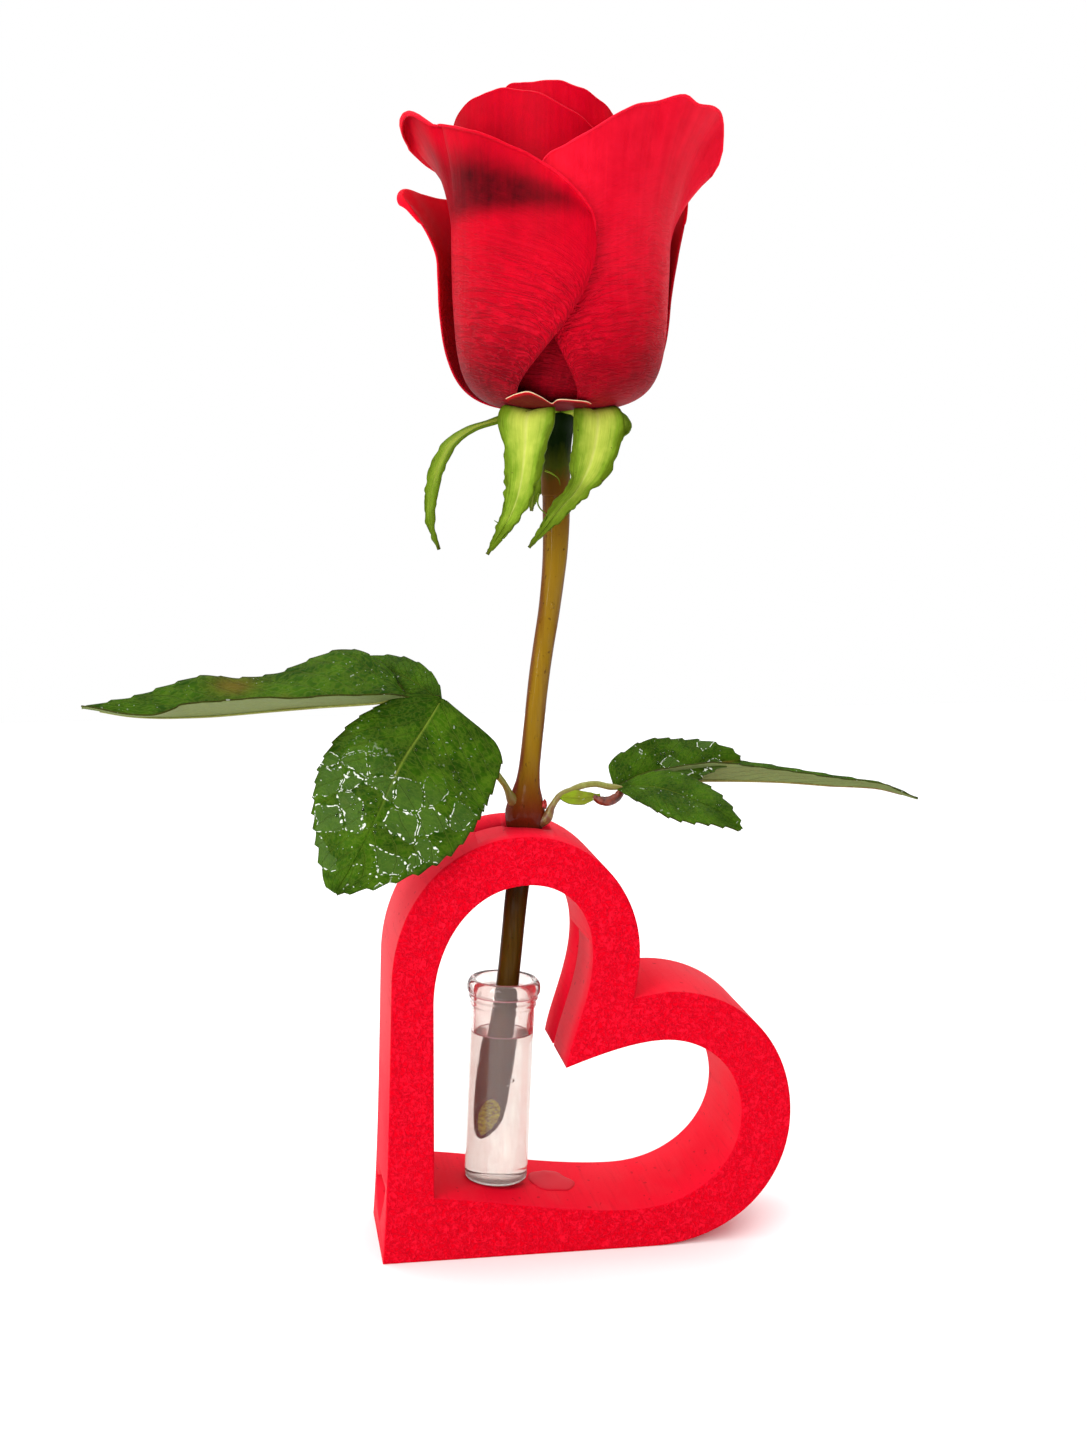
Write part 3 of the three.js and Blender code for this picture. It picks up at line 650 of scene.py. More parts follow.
def sepal_finish(colours):
    """Yellow green skin that darkens to the margins and the tip, with a pale rib."""
    sepal = Finish("sepal_skin", {"Specular IOR Level": 0.05})
    across, along, _ = sepal.split(sepal.surface())
    offset = (across - 0.5).size() * 2
    fibres = sepal.cloud(sepal.surface(15, 2.2), 1, 3, 0.6)
    mottle = sepal.cloud(sepal.surface(2.5, 7), 1, 3, 0.6)
    pale = (1 - offset * offset) * (1.1 - along) + (mottle - 0.5) * 0.9 + (fibres - 0.5) * 0.5
    body = sepal.ramp(pale, (0.05, colours.deep), (0.3, colours.green), (0.8, colours.light))
    body = sepal.blend(body, colours.rib, (1 - (offset * 9).least(1)) * mottle)
    body = sepal.blend(body, colours.deep, (fibres.ease(0.56, 0.8) * 0.35).most(sepal.mark("dark")))
    speck = sepal.cloud(sepal.place(), 0.9, 1).ease(0.76, 0.79)
    sepal.set({
        "Base Color": sepal.blend(body, colours.speck, speck.most(sepal.mark("stain"))),
        "Roughness": 0.42 + mottle * 0.2,
        "Normal": sepal.relief(fibres + mottle * 0.4, 0.3, 0.9),
    })
    return sepal.material


def hip_finish(colours):
    """Dark green skin of the hip, brown where it meets the stem."""
    hip = Finish("hip_skin", {"Specular IOR Level": 0.05})
    mottle = hip.cloud(hip.place(1, 1, 0.3), 0.7, 3, 0.6)
    height = hip.split(hip.place())[2]
    body = hip.ramp(
        (height - 170) / 20 + (mottle - 0.5) * 0.3,
        (0.1, colours.neck), (0.24, colours.neck), (0.42, colours.moss), (0.7, colours.under),
    )
    hip.set({
        "Base Color": body,
        "Roughness": 0.35 + mottle * 0.2,
        "Normal": hip.relief(mottle, 0.15),
    })
    return hip.material


def petal_finish(name, deep, full, glow, crease_mm):
    """Velvety petal skin: fine veins from root to margin, and cross wrinkles over the swelling."""
    petal = Finish(name, {
        "Specular IOR Level": 0.03, "Sheen Weight": 0.05, "Sheen Roughness": 0.4,
        "Sheen Tint": (1, 0.35, 0.4, 1), "Subsurface Weight": 0.12,
        "Subsurface Radius": (1, 0.06, 0.06), "Subsurface Scale": 0.8 * MM,
    })
    across, along, _ = petal.split(petal.surface())
    mottle = petal.cloud(petal.place(), 0.22, 4, 0.6)
    patchy = petal.cloud(petal.place(), 0.06, 2)
    veins = petal.cloud(petal.surface(90, 4), 1, 2, 0.5, 0.2)
    uneven = (mottle - 0.5) * 0.28 + (patchy - 0.5) * 0.3 + (veins - 0.5) * 0.14
    bright = (petal.mark("bright") + uneven).most(0).least(1)
    colour = petal.ramp(bright, (0.0, deep), (0.62, full), (1.0, glow))
    ripple = petal.cloud(petal.surface(11, 62), 1, 1, 0.5, 1.2)
    cross = petal.threads(ripple, 7)
    swelling = petal.mark("wrinkled")
    edge = (across - 0.5).size().ease(0.492, 0.4995)
    colour = petal.blend(colour, glow, edge * 0.35 + cross.ease(0.2, 1) * swelling * 0.27)
    petal.set({
        "Base Color": colour,
        "Roughness": 0.45 + mottle * 0.2,
        "Normal": petal.relief(cross * swelling + veins * 0.2 + mottle * 0.25, crease_mm),
    })
    return petal.material


def torn_finish(colours):
    """The stub of a torn outer petal: brownish red with a cream edge."""
    torn = Finish("torn_petal", {"Specular IOR Level": 0.08})
    along = torn.split(torn.surface())[1]
    mottle = torn.cloud(torn.place(), 0.5, 3)
    body = torn.ramp(
        along + (mottle - 0.5) * 0.04, (0.1, colours.rust), (0.85, colours.rust), (0.982, colours.full),
        (0.993, colours.cream),
    )
    torn.set({"Base Color": body, "Roughness": 0.5 + mottle * 0.2, "Normal": torn.relief(mottle, 0.2)})
    return torn.material


# Settings that a user may change

def colour_setting(name, description, default):
    return bpy.props.FloatVectorProperty(
        name=name, description=description, default=default, size=3, min=0, max=1, subtype="COLOR",
    )


def length_setting(name, description, default_mm):
    return bpy.props.FloatProperty(
        name=name, description=description, default=default_mm * MM, min=0, unit="LENGTH", precision=5,
    )


def light_setting(name, description, default, unit="NONE"):
    return bpy.props.FloatProperty(name=name, description=description, default=default, min=0, unit=unit)


class StageSettings(bpy.types.PropertyGroup):
    floor: colour_setting("Floor", "Colour of the floor", (0.92, 0.92, 0.92))
    backdrop: light_setting("Backdrop", "Brightness behind the object", 1.0)
    front: light_setting("Front", "Brightness in front of the object", 0.42)
    overhead: light_setting("Overhead light", "Power of the light above", 26, "POWER")
    fill: light_setting("Fill light", "Power of the light at the front left", 15, "POWER")
    strip: light_setting("Strip light", "Power of the narrow light that makes the highlights", 4, "POWER")


class HeartSettings(bpy.types.PropertyGroup):
    edge: length_setting("Edge", "How far the foam's edges are rounded", 0.5)
    face: colour_setting("Face", "Colour of the cut faces", (0.66, 0.0, 0.009))
    # Lighter red of the grain lines, a painted highlight on their crests
    grain_highlight: colour_setting("Grain", "Colour of the raised grain", (0.86, 0.008, 0.032))
    wall: colour_setting("Wall", "Colour of the smooth walls", (0.74, 0.004, 0.023))
    # Pale pink of the painted sheen on the left wall and the right lobe, and of a little dust
    dust_and_sheen: colour_setting("Dust", "Colour of the dusty places on the walls", (0.55, 0.09, 0.095))
    shade: colour_setting("Shade", "Colour of the darker streaks", (0.3, 0.002, 0.008))


class TubeSettings(bpy.types.PropertyGroup):
    clear: colour_setting("Clear", "Colour of the clear plastic", (0.9, 0.85, 0.82))
    tint: colour_setting("Tint", "Colour of its cloudy places", (0.82, 0.66, 0.62))
    crease: colour_setting("Crease", "Colour of the lines under the rim and at the water", (0.72, 0.26, 0.3))
    spill: colour_setting("Spill", "Colour of the foam under spilt water", (0.57, 0.008, 0.024))
    level: length_setting("Water level", "Height of the water above the floor", 48.2)


class StemSettings(bpy.types.PropertyGroup):
    wet: colour_setting("Under water", "Colour under water", (0.13, 0.035, 0.016))
    inside_heart: colour_setting("In the heart", "Colour inside the heart", (0.02, 0.008, 0.002))
    node: colour_setting("Node", "Colour of the swollen node", (0.13, 0.014, 0.004))
    bark: colour_setting("Bark", "Colour of the bark above the node", (0.12, 0.036, 0.004))
    # Also the gold of the painted highlight down the front and back of the stem
    streak: colour_setting("Streak", "Colour of the golden streaks", (0.24, 0.135, 0.007))
    speck: colour_setting("Speck", "Colour of the specks", (0.05, 0.015, 0.004))
    pith: colour_setting("Cut", "Colour of the cut end", (0.78, 0.8, 0.03))
    bud: colour_setting("Bud", "Red of the side bud", (0.5, 0.02, 0.02))
    bud_shade: colour_setting("Bud shade", "Darker red of the side bud", (0.22, 0.015, 0.01))


class LeafSettings(bpy.types.PropertyGroup):
    thickness: length_setting("Thickness", "Thickness of a leaflet", 0.35)
    light: colour_setting("Light green", "Lighter green of the upper side", (0.037, 0.1, 0.002))
    dark: colour_setting("Dark green", "Darker green of the upper side", (0.012, 0.043, 0.001))
    vein: colour_setting("Vein", "Colour of the veins", (0.34, 0.42, 0.05))
    under: colour_setting("Underside", "Colour of the underside", (0.15, 0.19, 0.07))
    stain: colour_setting("Stain", "Colour of the brown stains", (0.13, 0.08, 0.012))
    margin: colour_setting("Margin", "Colour of the thin brown margin", (0.03, 0.02, 0.003))
    film: colour_setting("Wet", "Green under a film of water", (0.06, 0.12, 0.02))
    # The near white of the wet lines and specks is a painted glint of light on the water
    painted_glint: colour_setting("Shine", "Colour of the lines and specks of water", (0.8, 0.85, 0.74))
    stalk: colour_setting("Stalk", "Colour of the stalks", (0.19, 0.2, 0.02))
    stalk_foot: colour_setting("Stalk's foot", "Colour of the stalks at the stem", (0.16, 0.06, 0.02))
    fibre: colour_setting("Fibre", "Colour of the stalks' pale fibres", (0.3, 0.33, 0.07))
    dry: colour_setting("Dried curl", "Reddish brown of the dried curl", (0.19, 0.03, 0.01))
    dry_shade: colour_setting("Curl's shade", "Darker brown of the dried curl", (0.05, 0.007, 0.003))
    stipule: colour_setting("Stipule", "Colour of the small leaf at the stalk's foot", (0.24, 0.36, 0.012))


class CalyxSettings(bpy.types.PropertyGroup):
    thickness: length_setting("Thickness", "Thickness of a sepal", 0.6)
    light: colour_setting("Light", "Yellow green near the bloom", (0.46, 0.53, 0.07))
    green: colour_setting("Green", "Green between", (0.17, 0.28, 0.014))
    deep: colour_setting("Deep", "Deep green at the edges and tips", (0.08, 0.13, 0.003))
    rib: colour_setting("Rib", "Colour of the middle rib", (0.6, 0.6, 0.16))
    under: colour_setting("Hip", "Dark green of the hip", (0.003, 0.012, 0.0))
    moss: colour_setting("Moss", "Olive of the hip's lower part", (0.05, 0.06, 0.004))
    neck: colour_setting("Neck", "Brown where the hip meets the stem", (0.12, 0.045, 0.004))
    speck: colour_setting("Speck", "Colour of the brown specks", (0.06, 0.04, 0.01))


class BloomSettings(bpy.types.PropertyGroup):
    thickness: length_setting("Thickness", "Thickness of a petal", 0.45)
    deep: colour_setting("Deep", "Darkest red of the petals", (0.06, 0.0, 0.002))
    full: colour_setting("Full", "Full red of the petals", (0.52, 0.0, 0.011))
    glow: colour_setting("Bright", "Brightest red of the petals", (0.85, 0.01, 0.034))
    inner: colour_setting("Inner", "Red of the petals' inner faces", (0.7, 0.0, 0.013))
    rust: colour_setting("Rust", "Brownish red at the petals' roots", (0.11, 0.003, 0.005))
    cream: colour_setting("Cream", "Cream of the torn edge", (0.8, 0.6, 0.36))


# The stage

# The focal length and the height of the frame are in pixels, the camera's spot in metres
FRAME_HEIGHT = 1447
FOCAL_PIXELS = 1850
CAMERA_SPOT = (-0.05951, -0.41366, 0.17629)
CAMERA_TILT = 7.6
CAMERA_TURN = -9.3
SENSOR = 36
FLOOR_REACH = 0.95
# Name, spot in metres, turn in degrees and size in metres of each light
LIGHTS = [
    ("overhead", (0, 0.15, 1.5), (0, 0, 0), (2, 2)),
    ("fill", (-0.9, -1.5, 0.75), (62, 0, -31), (1, 1)),
    ("strip", (-0.75, -0.75, 0.5), (72, 0, -45), (0.12, 0.9)),
]


class ROSE_OT_stage(bpy.types.Operator):
    """Makes the floor, the soft lights and the camera"""

    bl_idname = "rose.stage"
    bl_label = "Stage"

    def execute(self, context):
        settings = context.scene.rose_stage
        self.floor(settings)
        self.backdrop(context, settings)
        for name, spot, turn, size in LIGHTS:
            self.light(name, spot, turn, size, getattr(settings, name))
        self.camera(context)
        return {"FINISHED"}

    def floor(self, settings):
        bm = new_mesh()
        bmesh.ops.create_grid(bm, x_segments=8, y_segments=8, size=FLOOR_REACH)
        paper = Finish("floor_paper", {"Specular IOR Level": 0.1})
        soft = paper.cloud(paper.place(), 0.01, 2)
        paper.set({
            "Base Color": paper.blend(settings.floor, PAPER_WHITE, soft * 0.3),
            "Roughness": 0.8 + soft * 0.1,
        })
        make_piece("floor", bm, paper.material)

    def backdrop(self, context, settings):
        """A studio that is bright behind the object and dimmer in front of it."""
        world = bpy.data.worlds.new("studio")
        world.use_nodes = True
        context.scene.world = world
        sky = Wiring(world.node_tree)
        towards = sky.split(sky.node("ShaderNodeTexCoord").out("Generated"))[1]
        strength = towards.ease(-0.35, 0.3) * (settings.backdrop - settings.front) + settings.front
        ground = world.node_tree.nodes["Background"]
        ground.inputs["Color"].default_value = (1, 1, 1, 1)
        sky.feed(ground.inputs["Strength"], strength)

    def light(self, name, spot, turn, size, power):
        lamp = bpy.data.lights.new(name, "AREA")
        lamp.energy = power
        lamp.shape = "RECTANGLE"
        lamp.size, lamp.size_y = size
        holder = bpy.data.objects.new(name, lamp)
        holder.location = spot
        holder.rotation_euler = [math.radians(angle) for angle in turn]
        bpy.context.scene.collection.objects.link(holder)

    def camera(self, context):
        lens = bpy.data.cameras.new("camera")
        lens.sensor_width = SENSOR
        lens.lens = FOCAL_PIXELS / FRAME_HEIGHT * SENSOR
        lens.clip_start = 0.01
        holder = bpy.data.objects.new("camera", lens)
        holder.location = CAMERA_SPOT
        holder.rotation_euler = (math.radians(90 - CAMERA_TILT), 0, math.radians(CAMERA_TURN))
        context.scene.collection.objects.link(holder)
        context.scene.camera = holder
        context.scene.view_settings.view_transform = "Standard"


# The heart

# A drawn loop starts at a spot; each list is a straight run to a spot, or two handles and a spot
HEART_OUTLINE = [
    (-31, 0), [(31, 0)], [(50.5, 0), (63.8, 13.5), (63.8, 30.4)], [(63.8, 47.3), (51.5, 60.6), (34, 60.4)],
    [(26.6, 59.2)], [(27.2, 62.5), (27.9, 66), (27.9, 70)], [(27.9, 84.5), (16.5, 97.2), (2, 97.2)],
    [(-14.5, 97.2), (-27.3, 84.5), (-28.4, 66)], [(-29, 48), (-29.4, 20), (-31, 0)],
]
HEART_OPENING = [
    (-19.2, 14.8), [(-19, 60)], [(-18.6, 74), (-10, 86.1), (2.5, 86.1)], [(10.5, 86.1), (17, 80.5), (17, 70)],
    [(17, 60), (12.2, 51), (11, 43.6)], [(19, 46.5), (27, 49), (33.5, 49)],
    [(44, 49), (52, 41.5), (52, 30.8)], [(52, 18.5), (41, 9.2), (27, 9.2)],
    [(12, 9.2), (-4, 13.2), (-19.2, 14.8)],
]
HOLE_CENTRE, HOLE_LENGTH, HOLE_WIDTH = 4.3, 11.6, 8.6
SLIT_START, SLIT_WIDTH, SLIT_TIP = -7.8, 1.3, 0.2
SLOT_LOW, SLOT_DEEP = 81.2, 24
POCKET = [(-12.4, 16.5), (-6, 9), (-1.4, 4.3), (5.5, 7), (11.5, 10.7), (6, 13.2), (2, 15.6)]
POCKET_START, POCKET_REACH = -35.4, 8
# Spots of the inner wall, and how deep the groove is there
GROOVE = [
    (10.6, 43, 2.6), (11.1, 43.9, 2.4), (12.3, 49, 1.5), (14.2, 55.5, 1.1), (15.9, 61, 0.9), (16.8, 66, 0.7),
    (17, 71.4, 0.1),
]
GROOVE_START, GROOVE_WIDTH = 2.2, 1.3


class ROSE_OT_heart(bpy.types.Operator):
    """Makes the thick foam heart with its stem slot and corner pocket"""

    bl_idname = "rose.heart"
    bl_label = "Foam heart"

    def execute(self, context):
        settings = context.scene.rose_heart
        heart = self.ring(settings.edge)
        for shape in (self.slot(), self.slit(), self.pocket(), self.groove()):
            carve(heart, shape)
        heart.data.materials.clear()
        heart.data.materials.append(foam_finish(settings))
        # The cut faces at the front and back are shaded flat, the walls smooth
        for face in heart.data.polygons:
            face.use_smooth = abs(face.normal.y) < 0.9
        mount(heart, "foam", "heart_frame")
        return {"FINISHED"}

    def ring(self, edge):
        """The drawn outline with its opening, given depth and rounded edges, and stood upright."""
        drawing = bpy.data.curves.new("heart_drawing", "CURVE")
        drawing.dimensions = "2D"
        drawing.fill_mode = "BOTH"
        drawing.resolution_u = 26
        drawing.extrude = (HEART_HIGH.y - HEART_LOW.y) / 2 - edge
        drawing.bevel_depth = edge
        drawing.bevel_resolution = 2
        drawing.offset = -edge
        for loop in (HEART_OUTLINE, HEART_OPENING):
            self.add_loop(drawing, loop)
        holder = bpy.data.objects.new("heart_drawing", drawing)
        bpy.context.scene.collection.objects.link(holder)
        shown = holder.evaluated_get(bpy.context.evaluated_depsgraph_get())
        mesh = bpy.data.meshes.new_from_object(shown)
        bpy.data.objects.remove(holder)
        bm = bmesh.new()
        bm.from_mesh(mesh)
        bmesh.ops.remove_doubles(bm, verts=bm.verts[:], dist=MERGE_REACH * MM)
        bmesh.ops.recalc_face_normals(bm, faces=bm.faces[:])
        bmesh.ops.rotate(bm, verts=bm.verts[:], matrix=Matrix.Rotation(math.radians(90), 3, "X"))
        return make_piece("foam_heart", bm)

    def add_loop(self, drawing, loop):
        """Draws one closed loop of straight and curved runs."""
        start, segments = loop[0], loop[1:]
        spline = drawing.splines.new("BEZIER")
        spline.use_cyclic_u = True
        spline.bezier_points.add(len(segments) - 1)
        points = spline.bezier_points
        spots = [start] + [segment[-1] for segment in segments[:-1]]
        for point, spot in zip(points, spots):
            point.handle_left_type = point.handle_right_type = "FREE"
            point.co = point.handle_left = point.handle_right = (spot[0] * MM, spot[1] * MM, 0)
        for k, segment in enumerate(segments):
            here, there = points[k], points[(k + 1) % len(points)]
            if len(segment) == 3:
                here.handle_right = (segment[0][0] * MM, segment[0][1] * MM, 0)
                there.handle_left = (segment[1][0] * MM, segment[1][1] * MM, 0)
            else:
                here.handle_right = here.co.lerp(there.co, 1 / 3)
                there.handle_left = here.co.lerp(there.co, 2 / 3)

    def slot(self):
        """The long round hole for the stem."""
        radius = HOLE_WIDTH / 2
        straight = (HOLE_LENGTH - HOLE_WIDTH) / 2
        outline = []
        for k in range(40):
            angle = 2 * math.pi * (k + 0.5) / 40
            shift = math.copysign(straight, math.cos(angle))
            x = HOLE_CENTRE + shift + radius * math.cos(angle)
            outline.append((x, radius * math.sin(angle), SLOT_LOW))
        return prism(outline, (0, 0, SLOT_DEEP))

    def slit(self):
        """The thin slit that narrows away from the hole."""
        corners = [
            (SLIT_START, -SLIT_TIP / 2), (HOLE_CENTRE, -SLIT_WIDTH / 2), (HOLE_CENTRE, SLIT_WIDTH / 2),
            (SLIT_START, SLIT_TIP / 2),
        ]
        return prism([(x, y, SLOT_LOW) for x, y in corners], (0, 0, SLOT_DEEP))

    def pocket(self):
        """The hollow in the lower left side."""
        return prism([(POCKET_START, y, z) for y, z in POCKET], (POCKET_REACH, 0, 0))

    def groove(self):
        """A crease along the inner wall above the opening's point, deepest at the point."""
        air = [(x - 2, GROOVE_START, z) for x, z, _ in GROOVE]
        foam = [(x + depth, GROOVE_START, z) for x, z, depth in GROOVE]
        return prism(air + foam[::-1], (0, GROOVE_WIDTH, 0))


# The tube of water

TUBE_FOOT = Vector((-3.2, 0, 13.02))
TUBE_LEAN = 2.6
TUBE_PROFILE = [
    (0, 0), (6.3, 0.1), (7.2, 0.5), (7.35, 1.4), (7.35, 41.3), (7.8, 42.3), (7.62, 43.0), (8.1, 43.7),
    (7.9, 44.5), (8.5, 45.1), (8.55, 46.4), (8.3, 47.4), (7.7, 48.1), (7, 48.1), (6.5, 47.5), (6.3, 46.4),
    (6.4, 42.3), (6.4, 1.7), (6.1, 0.95), (5.3, 0.65), (0, 0.6),
]
TUBE_STEPS = 72
WATER_RADIUS = 6.42
WATER_FLOOR = 0.59
MENISCUS = 0.35
# Radius, height and thickness of the crease under the rim, in the tube's own frame
RIM_CREASE = (8, 44.5, 0.14)
SPILL = Vector((10, 1.5, 10.57))
SPILL_LENGTH, SPILL_WIDTH = 5.2, 6.8
SPILL_THICKNESS, FLOOR_FALL = 0.2, 0.14
# Turn in degrees, height and radius of each
LARGE_BUBBLES = [(-72, 25.4, 0.5), (-80, 24.2, 0.28), (-66, 22, 0.2)]


def leaned(bm):
    """Leans a mesh over with the tube and puts it on the tube's foot."""
    lean = Matrix.Rotation(math.radians(TUBE_LEAN), 4, "Y")
    bmesh.ops.transform(bm, matrix=Matrix.Translation(TUBE_FOOT * MM) @ lean, verts=bm.verts[:])


class ROSE_OT_tube(bpy.types.Operator):
    """Makes the clear tube with its rolled rim, and the water in it"""

    bl_idname = "rose.tube"
    bl_label = "Tube of water"

    def execute(self, context):
        settings = context.scene.rose_tube
        bm = new_mesh()
        lay_spin(bm, rounded_corners(TUBE_PROFILE, 1.2), TUBE_STEPS)
        leaned(bm)
        mount(make_piece("clear_tube", bm, tube_finish(settings)), "tube", "tube")
        mount(self.water(settings.level / MM), "water", "water")
        mount(self.bubbles(), "water")
        mount(self.puddle(settings), "water")
        mount(self.rings(settings), "tube")
        return {"FINISHED"}

    def water(self, level):
        """The water up to its curved surface, with room for the stem."""
        top = level - TUBE_FOOT.z
        r, floor = WATER_RADIUS, WATER_FLOOR
        profile = [
            (0, floor), (5.3, floor + 0.05), (6.1, floor + 0.35), (r, 1.7), (r, top + MENISCUS),
            (r - 0.15, top + MENISCUS * 0.7), (r - 0.6, top + MENISCUS * 0.25), (r - 1.4, top), (0, top),
        ]
        bm = new_mesh()
        lay_spin(bm, profile, TUBE_STEPS)
        leaned(bm)
        water = make_piece("tube_water", bm)
        room = new_mesh()
        lay_stem(room, -0.05)
        slant(room, 0.5)
        carve(water, room)
        water.data.materials.clear()
        water.data.materials.append(water_finish())
        water.data.shade_smooth()
        water.data.set_sharp_from_angle(angle=math.radians(50))
        return water

    def rings(self, settings):
        """The dark pink lines under the rim and where the water meets the wall."""
        bm = new_mesh()
        level = settings.level / MM - TUBE_FOOT.z
        for radius, height, thick in (RIM_CREASE, (WATER_RADIUS - 0.12, level + 0.3, 0.16)):
            angles = [k * math.pi / 4 for k in range(9)]
            profile = [(radius + thick * math.cos(a), height + thick * math.sin(a)) for a in angles]
            lay_spin(bm, profile, TUBE_STEPS)
        leaned(bm)
        crease = Finish("tube_crease", {"Transmission Weight": 0.5, "IOR": 1.4})
        soft = crease.cloud(crease.place(), 0.5)
        crease.set({
            "Base Color": crease.blend(settings.crease, settings.tint, soft * 0.5),
            "Roughness": 0.1 + soft * 0.1,
        })
        return make_piece("tube_creases", bm, crease.material)

    def puddle(self, settings):
        """The thin spill on the heart's floor, to the right of the tube."""
        def spot(side, climb):
            angle = -side * math.pi
            edge = climb * (1 + 0.22 * noise.noise(around(1.6, angle, 4)))
            x = SPILL_LENGTH * edge * math.cos(angle)
            y = SPILL_WIDTH * edge * math.sin(angle)
            return SPILL + Vector((x, y, 0.22 * (1 - climb ** 6) - FLOOR_FALL * x))

        bm = new_mesh()
        sheet = lay_sheet(bm, columns=60, rows=12, spot=spot)
        bmesh.ops.remove_doubles(bm, verts=sheet, dist=MERGE_REACH * MM)
        film = film_finish(settings.spill)
        return make_piece("spilt_water", bm, film, thickness=SPILL_THICKNESS * MM)

    def bubbles(self):
        """Small bubbles that cling to the tube's front wall."""
        chance = random.Random(7)
        bm = new_mesh()
        cling = WATER_RADIUS - 0.3
        scattered = [
            (chance.uniform(-160, -20), chance.uniform(4, 32), chance.uniform(0.12, 0.26)) for _ in range(14)
        ]
        for turn, height, size in LARGE_BUBBLES + scattered:
            lay_ball(bm, around(cling, math.radians(turn), height), size)
        leaned(bm)
        air = Finish("bubble_air", {"Transmission Weight": 1.0, "IOR": 1.12})
        soft = air.cloud(air.place(), 2)
        air.set({"Base Color": air.blend(*AIR_COLOURS, soft), "Roughness": soft * 0.05})
        return make_piece("bubbles", bm, air.material)


# The stem

STEM_TOP = 172.6
STEM_SIDES, STEM_ROWS = 36, 150
STEM_RAIL = Rail([
    (-5.2, 0, 20.5), (-2.9, 0, 40), (-0.3, 0, 59.3), (1.8, 0, 79.4), (3.6, 0, 94), (4.2, 0, 103),
    (5.4, 0, 114.3), (7.4, 0, 132.7), (9.5, 0, 146.3), (10.8, 0, 158), (11.1, 0, 166), (11.1, 0, STEM_TOP),
])
# The stem's half width across and half depth, each over the height
STEM_RADIUS_X = smooth_through([
    (20, 0.9), (24, 1.8), (28, 2.5), (33, 2.95), (44, 3.05), (52, 2.85), (60, 2.6), (88, 2.75),
    (93, 3.3), (97, 4.3), (100, 4.6), (103, 3.9), (107, 2.8), (112, 2.4), (135, 2.35), (150, 2.5),
    (158, 2.8), (166, 3.05), (STEM_TOP, 3.1),
])
STEM_RADIUS_Y = smooth_through([
    (20, 2.75), (60, 2.75), (88, 2.8), (97, 3.6), (101, 3.7), (106, 2.7), (112, 2.4),
    (135, 2.35), (150, 2.5), (158, 2.8), (166, 3.05), (STEM_TOP, 3.1),
])
CUT_SPOT = Vector((-4.2, 0, 28.2))
CUT_AWAY = Vector((-0.1, -0.88, -0.42))
BARK_RIM, PITH_DEPTH = 0.7, 0.12
# Height, turn in degrees and size of each scar
SCARS = [(147.5, -86, 0.6), (128, -150, 0.3), (118, -60, 0.25), (71, -100, 0.35)]
BUD_FOOT = Vector((7.9, -1.4, 101.8))
# Turn in degrees, reach from the bud's axis and height of each scale
BUD_SCALES = [(200, 0.5, 2.3), (330, 0.55, 1.9), (80, 0.5, 2.1)]
BUD_LEAN, BUD_THICKNESS = 0.5, 0.25


def lay_stem(bm, extra=0):
    """The stem's whole length, thicker all round by extra."""
    def radii(t, centre):
        return STEM_RADIUS_X(centre.z) + extra, STEM_RADIUS_Y(centre.z) + extra

    return lay_bar(bm, STEM_RAIL, STEM_SIDES, STEM_ROWS, radii, reference=(1, 0, 0))


def slant(bm, short=0):
    """Cuts the stem's lower end on a slant, a little short of the real cut if asked, and closes it."""
    spot = CUT_SPOT - CUT_AWAY.normalized() * short
    bmesh.ops.bisect_plane(
        bm, geom=bm.verts[:] + bm.edges[:] + bm.faces[:], plane_co=spot * MM, plane_no=CUT_AWAY,
        clear_outer=True,
    )
    return close_holes(bm)


